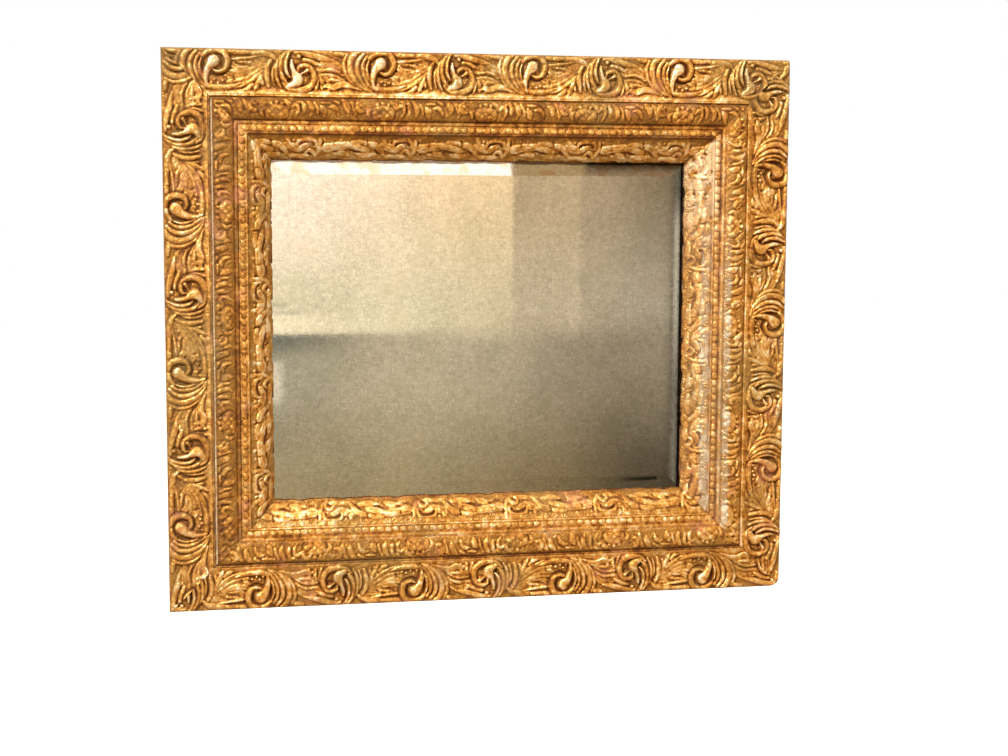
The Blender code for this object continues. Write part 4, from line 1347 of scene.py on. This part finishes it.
@dataclass(frozen=True)
class AgedSilvering:
    """Old silvered glass: finely mottled and creased, stained along its top and darker towards its right
    edge, with a painted shadow and reflections of the frame along its top and right edges.

    Attributes:
        name: material name.
        stain_edge: level down to which the silvering is stained.
        top_edge: level above which it is painted nearly black, a painted shadow and reflection of the top
            lip.
        right_edge: place beyond which it is painted nearly black, a painted reflection of the dark rebate.
        low_band: level, start and end of the dark band near the bottom edge at the lower right.
    """

    name: str = "aged_silvering"
    stain_edge: float = -0.1175
    top_edge: float = -0.1028
    right_edge: float = 0.2512
    low_band: tuple[float, float, float] = (-0.4975, 0.165, 0.228)

    def material(self) -> bpy.types.Material:
        """The finish as a material."""
        material, g, shader = new_material(self.name)
        place = g.place()
        x, _, z = g.split(place)
        wide, cloud = g.noise(place, 14.0, 4.0, 0.6), g.noise(place, 40.0, 3.0, 0.6)
        mottle = g.noise(place, 130.0, 4.0, 0.7)
        weave, weft = (g.noise(g.stretched(place, scale), 420.0, 2.0)
                       for scale in ((0.3, 1.0, 1.0), (1.0, 1.0, 0.3)))
        crease = abs(g.noise(place, 240.0, 2.0) - 0.5)
        tone = mottle * 0.34 + (weave + weft) * 0.2 + wide * 0.26 + crease * 0.7
        base = g.ramp(tone, (0.36, (0.50, 0.48, 0.42)), (0.55, (0.74, 0.72, 0.67)),
                      (0.74, (0.96, 0.95, 0.91)))
        right = (x + (wide - 0.5) * 0.01).step(0.226, 0.242)
        ragged = z + (cloud - 0.5) * 0.006
        stain = ragged.step(self.stain_edge, self.stain_edge + 0.004) * g.noise(place, 48.0).step(0.5, 0.6)
        # A dark band near the bottom edge at the lower right, rising a little towards the right.
        level, start, end = self.low_band
        streak = (ragged + x * -0.012).near(level, 0.0005, 0.0042)
        low_edge_band = x.between(start, start + 0.04, end - 0.004, end) * streak
        base = g.glaze(
            base, (cloud.step(0.52, 0.66) * 0.4, (0.60, 0.63, 0.53)),
            (wide.step(0.56, 0.68) * 0.3, (0.74, 0.62, 0.52)),
            (right * 0.22, (0.14, 0.12, 0.09)), (stain * 0.6, (0.62, 0.43, 0.26)),
            # Nearly black strips: along the top edge a painted shadow and reflection of the lip, along the
            # right edge a painted reflection of the dark rebate.
            (ragged.step(self.top_edge, self.top_edge + 0.0018) * 0.85, (0.10, 0.05, 0.02)),
            (x.step(self.right_edge, self.right_edge + 0.001) * 0.95, (0.03, 0.02, 0.015)),
            (low_edge_band * 0.85, (0.06, 0.03, 0.015)))
        g.dress(shader, base, 0.01 + mottle * 0.03, mottle, 0.012, 0.0004)
        shader.inputs["Metallic"].default_value = 1.0
        return material


@dataclass(frozen=True)
class BareWood:
    """Old pine, brown with age and dust, with its grain along the board.

    Attributes:
        name: material name.
        upright: whether the grain runs up and down.
        pale: how much lighter the board has stayed.
    """

    name: str
    upright: bool = False
    pale: float = 0.0

    def material(self) -> bpy.types.Material:
        """The finish as a material."""
        material, g, shader = new_material(self.name)
        place = g.place()
        along = g.stretched(place, (1.0, 1.0, 0.05) if self.upright else (0.05, 1.0, 1.0))
        grain = g.noise(along, 260.0, 5.0, 0.6)
        waves = {"Vector": along, "Scale": 19.0, "Distortion": 9.0, "Detail": 4.0, "Detail Scale": 0.8}
        rings = g.out("ShaderNodeTexWave", waves, "Fac", bands_direction="X" if self.upright else "Z")
        tone = grain * 0.8 + rings * 0.2 + self.pale
        base = g.ramp(tone, (0.25, (0.10, 0.055, 0.026)), (0.55, (0.22, 0.135, 0.07)),
                      (0.8, (0.33, 0.22, 0.125)))
        base = g.glaze(base, (g.noise(place, 18.0, 4.0).step(0.45, 0.7) * 0.4, (0.26, 0.22, 0.17)))
        g.dress(shader, base, 0.68 + grain * 0.2, tone, 0.4, 0.0006)
        return material


@dataclass(frozen=True)
class ReflectedCard:
    """Soft panels of cream, taupe and grey that stand for a plain room in the plate, in metres on the card.

    Attributes:
        seams: where the left, middle and right panels meet.
        rail: how far down the upper panels end.
        strip: where the pale strip at the far right starts and the dark edge beyond it.
    """

    seams: tuple[float, float] = (0.885, 1.137)
    rail: float = 0.632
    strip: tuple[float, float] = (1.80, 2.003)

    def material(self) -> bpy.types.Material:
        """The glowing card as a material."""
        material, g, shader = new_material("card_tones")
        x, _, z = g.split(g.place())
        down = z * -1
        soft = 0.006 + x.step(0.3, 0.9) * 0.06
        upper, lower = self.upper(g, x, down), self.lower(g, x, down)
        tone = g.fade(down, self.rail - soft, self.rail + soft, upper, lower)
        patch = down.between(0.725, 0.735, 0.84, 0.90) * (1 - x.step(-0.40, -0.35))
        tone = g.glaze(tone, (patch, (0.98, 0.86, 0.64)))
        tone = self.edges(g, tone, x, z)
        far = g.math("MAXIMUM", abs(x - 0.8) - 1.32, abs(z + 0.635) - 1.14)
        tone = g.fade(far, 0.0, 0.1, tone, (1.05, 0.88, 0.68))
        output = material.node_tree.nodes["Material Output"]
        g.feed(output.inputs["Surface"], g.out("ShaderNodeEmission", {"Color": tone, "Strength": 1.0}))
        material.node_tree.nodes.remove(shader)
        return material

    def upper(self, g: Graph, x: Signal, down: Signal) -> Signal:
        """The three panels of the upper part, with two dark marks at the left.

        Args:
            g: helper of the material.
            x: place across the card.
            down: place down the card.

        Returns:
            Their colour.
        """
        first, second = self.seams
        fall = down.step(0.05, 0.56)
        left = g.mix(fall, g.fade(x, 0.0, 0.8, (1.6, 1.32, 1.06), (1.27, 0.93, 0.55)),
                     g.fade(x, 0.4, 0.85, (1.08, 0.93, 0.64), (0.94, 0.78, 0.51)))
        middle = g.mix(fall, (0.72, 0.53, 0.32), (0.78, 0.63, 0.43))
        right = g.mix(fall, g.fade(x, 1.2, 1.5, (0.58, 0.43, 0.27), (0.33, 0.24, 0.145)),
                      g.fade(x, 1.15, 1.45, (0.64, 0.52, 0.36), (0.54, 0.45, 0.33)))
        colour = g.fade(x, second, second + 0.007, g.fade(x, first, first + 0.007, left, middle), right)
        colour = g.glaze(colour, (down.step(0.56, 0.575) * (1 - x.step(0.05, 0.5)), (1.36, 1.15, 0.80)))
        for start, end, reach in ((0.523, 0.531, 0.10), (0.551, 0.557, 0.17)):
            mark = down.between(start, start + 0.003, end, end + 0.003) * (1 - x.step(reach - 0.08, reach))
            colour = g.glaze(colour, (mark * 0.7, (0.30, 0.29, 0.20)))
        return colour

    def lower(self, g: Graph, x: Signal, down: Signal) -> Signal:
        """The darker lower part, which falls off downwards and has a shade at its left end.

        Args:
            g: helper of the material.
            x: place across the card.
            down: place down the card.

        Returns:
            Its colour.
        """
        head = g.fade(x, 0.0, 0.5, (0.53, 0.47, 0.34), (0.70, 0.58, 0.40))
        head = g.fade(x, 0.6, 1.3, head, (0.40, 0.32, 0.22))
        foot = g.fade(x, 0.5, 1.05, (0.47, 0.36, 0.20), (0.31, 0.22, 0.11))
        foot = g.fade(x, 1.0, 1.42, foot, (0.115, 0.085, 0.05))
        shade = (1 - x.step(0.0, 0.42)) * (1 - down.step(0.65, 0.73))
        return g.glaze(g.fade(down, 0.7, 1.25, head, foot), (shade, (0.25, 0.245, 0.19)))

    def edges(self, g: Graph, tone: Signal, x: Signal, z: Signal) -> Signal:
        """The band along the top and the strip at the far right, which the bevel reflects.

        Args:
            g: helper of the material.
            tone: colour so far.
            x: place across the card.
            z: level.

        Returns:
            The colour with both.
        """
        down, (strip, end) = z * -1, self.strip
        band = g.fade(z, 0.362, 0.408, (0.42, 0.29, 0.17), (0.05, 0.03, 0.012))
        band = g.fade(x, 1.14, 1.18, (0.54, 0.36, 0.18), band)
        band = g.fade(x, self.seams[0], self.seams[0] + 0.005, (1.9, 1.66, 1.4), band)
        tone = g.fade(z, 0.1, 0.2, tone, band)
        pale = g.fade(down, 0.12, 0.28, (0.26, 0.23, 0.17), (0.93, 0.84, 0.65))
        pale = g.fade(down, 0.52, 0.9, pale, (0.35, 0.31, 0.24))
        edge = g.fade(x, 1.985, 1.99, g.fade(x, 1.968, 1.985, tone, (0.20, 0.16, 0.11)), pale)
        edge = g.fade(x, end, end + 0.004, edge, (0.05, 0.04, 0.03))
        return g.fade(x, strip, strip + 0.04, tone, edge)


@dataclass(frozen=True)
class Studio:
    """Plain pale floor, white behind, soft light from above and the left, and the card the plate reflects.

    Attributes:
        camera_place: where the camera stands.
        forward: where it looks.
        roll: how far it leans, in degrees.
        lens: its focal length.
        floor_level: height of the floor.
        card_depth: how far in front of the mirror the card stands.
    """

    camera_place: tuple[float, float, float] = (-0.4011, -2.074, -0.1384)
    forward: tuple[float, float, float] = (0.20286, 0.97338, -0.10663)
    roll: float = 0.268
    lens: float = 61.155
    floor_level: float = -1.36
    card_depth: float = -4.0

    def camera(self) -> None:
        """The camera at the photograph's viewing angle."""
        data = bpy.data.cameras.new("camera")
        data.lens, data.sensor_width, data.sensor_fit = self.lens, 36.0, "HORIZONTAL"
        data.clip_start, data.clip_end = 0.05, 60.0
        obj = placed("camera", data)
        obj.location = self.camera_place
        turn = Vector(self.forward).to_track_quat("-Z", "Y") @ Quaternion((0, 0, 1), radians(self.roll))
        obj.rotation_euler = turn.to_euler()
        bpy.context.scene.camera = obj

    def light(self, name: str, place: tuple, size: tuple, power: float, colour: tuple) -> None:
        """Add a soft rectangular light that faces the mirror.

        Args:
            name: object name.
            place: where it stands.
            size: width and height.
            power: watts.
            colour: light colour.
        """
        data = bpy.data.lights.new(name, "AREA")
        data.shape, data.size, data.size_y = "RECTANGLE", *size
        data.energy, data.color = power, colour
        obj = placed(name, data)
        obj.location = place
        obj.rotation_euler = (Vector((0, 0, -0.3)) - Vector(place)).to_track_quat("-Z", "Y").to_euler()

    def flat(self, name: str, corners: tuple, material: bpy.types.Material, seen: bool) -> None:
        """Add a flat staged panel.

        Args:
            name: object name.
            corners: its four corners.
            material: its finish.
            seen: whether the camera sees it directly, rather than reflections alone.
        """
        mesh = bpy.data.meshes.new(name)
        mesh.from_pydata(corners, [], [(0, 1, 2, 3)])
        mesh.materials.append(material)
        obj = placed(name, mesh)
        obj.visible_diffuse = False
        obj.visible_glossy = not seen
        obj.visible_camera = obj.visible_shadow = seen

    def floor_material(self) -> bpy.types.Material:
        """Plain pale floor."""
        material, g, shader = new_material("pale_floor")
        for key, value in (("Base Color", (0.93, 0.93, 0.92)), ("Roughness", 0.8),
                           ("Emission Color", (1, 1, 1)), ("Emission Strength", 0.55)):
            g.feed(shader.inputs[key], value)
        return material

    def world(self) -> None:
        """White for the camera, and a soft gradient, brighter above, for the gilding."""
        world = bpy.data.worlds.new("studio")
        bpy.context.scene.world = world
        world.use_nodes = True
        g = Graph(world.node_tree)
        up = g.split(g.out("ShaderNodeTexCoord", output="Generated"))[2]
        soft = g.fade(up, -0.5, 0.9, (0.70, 0.53, 0.33), (0.95, 0.86, 0.74))
        seen = g.out("ShaderNodeLightPath", output="Is Camera Ray")
        g.feed(world.node_tree.nodes["Background"].inputs["Color"], g.mix(seen, soft, (1.0, 1.0, 1.0)))

    def build(self) -> None:
        """Set up everything around the object."""
        self.camera()
        self.world()
        floor, depth = self.floor_level, self.card_depth
        self.flat("floor", ((-9, -9, floor), (9, -9, floor), (9, 14, floor), (-9, 14, floor)),
                  self.floor_material(), True)
        self.flat("card", ((-3.6, depth, -3.6), (5.2, depth, -3.6), (5.2, depth, 2.4), (-3.6, depth, 2.4)),
                  ReflectedCard().material(), False)
        self.light("key", (-2.9, -3.3, 3.0), (1.5, 1.4), 330.0, (1.0, 0.95, 0.87))
        self.light("top", (0.0, -0.45, 1.3), (1.6, 0.4), 8.0, (1.0, 0.97, 0.92))
        bpy.context.scene.view_settings.view_transform = "Standard"


def main() -> None:
    """Build the mirror, dress it and set it in the studio."""
    logging.basicConfig(level=logging.INFO, format="%(name)s %(message)s")
    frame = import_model()
    gilding_tones = OldGilding.group()
    outer_gold = OldGilding("old_gilding_outer").material(gilding_tones)
    inner_gold = OldGilding("old_gilding_inner").material(gilding_tones)
    level, upright = BareWood("bare_wood_level").material(), BareWood("bare_wood_upright", True).material()
    frieze, tiles = FRIEZE.tile(), (HALF_ROUND.tile(), SLOPE.tile())
    outer, inner, beads = OuterMoulding(), InnerMoulding(), BeadRow()
    tree = beads.tree()
    for side in Side:
        back = level if side.level else upright
        for piece, slot, node in (
                (outer.build(side, frieze, outer_gold, back), "outer_gilding", f"outer_rail_{side.value}"),
                (inner.build(side, tiles, inner_gold, back), "inner_gilding", f"inner_rail_{side.value}"),
                (beads.build(side, tree, inner_gold), "inner_gilding", None)):
            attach(piece, "root")
            if node:
                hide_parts(node)
            piece.data.calc_loop_triangles()
            log.info("%s: %d triangles", piece.name, len(piece.data.loop_triangles))
    plate, board = AgedSilvering(), BareWood("backing_board_pine", pale=0.12)
    for node, finish in (("mirror_plate", plate), ("backing_board", board)):
        material = finish.material()
        for slot in frame["nodes"][node].material_slots:
            slot.material = material
        log.info("%s: %s", node, finish.name)
    Studio().build()


if __name__ == "__main__":
    main()
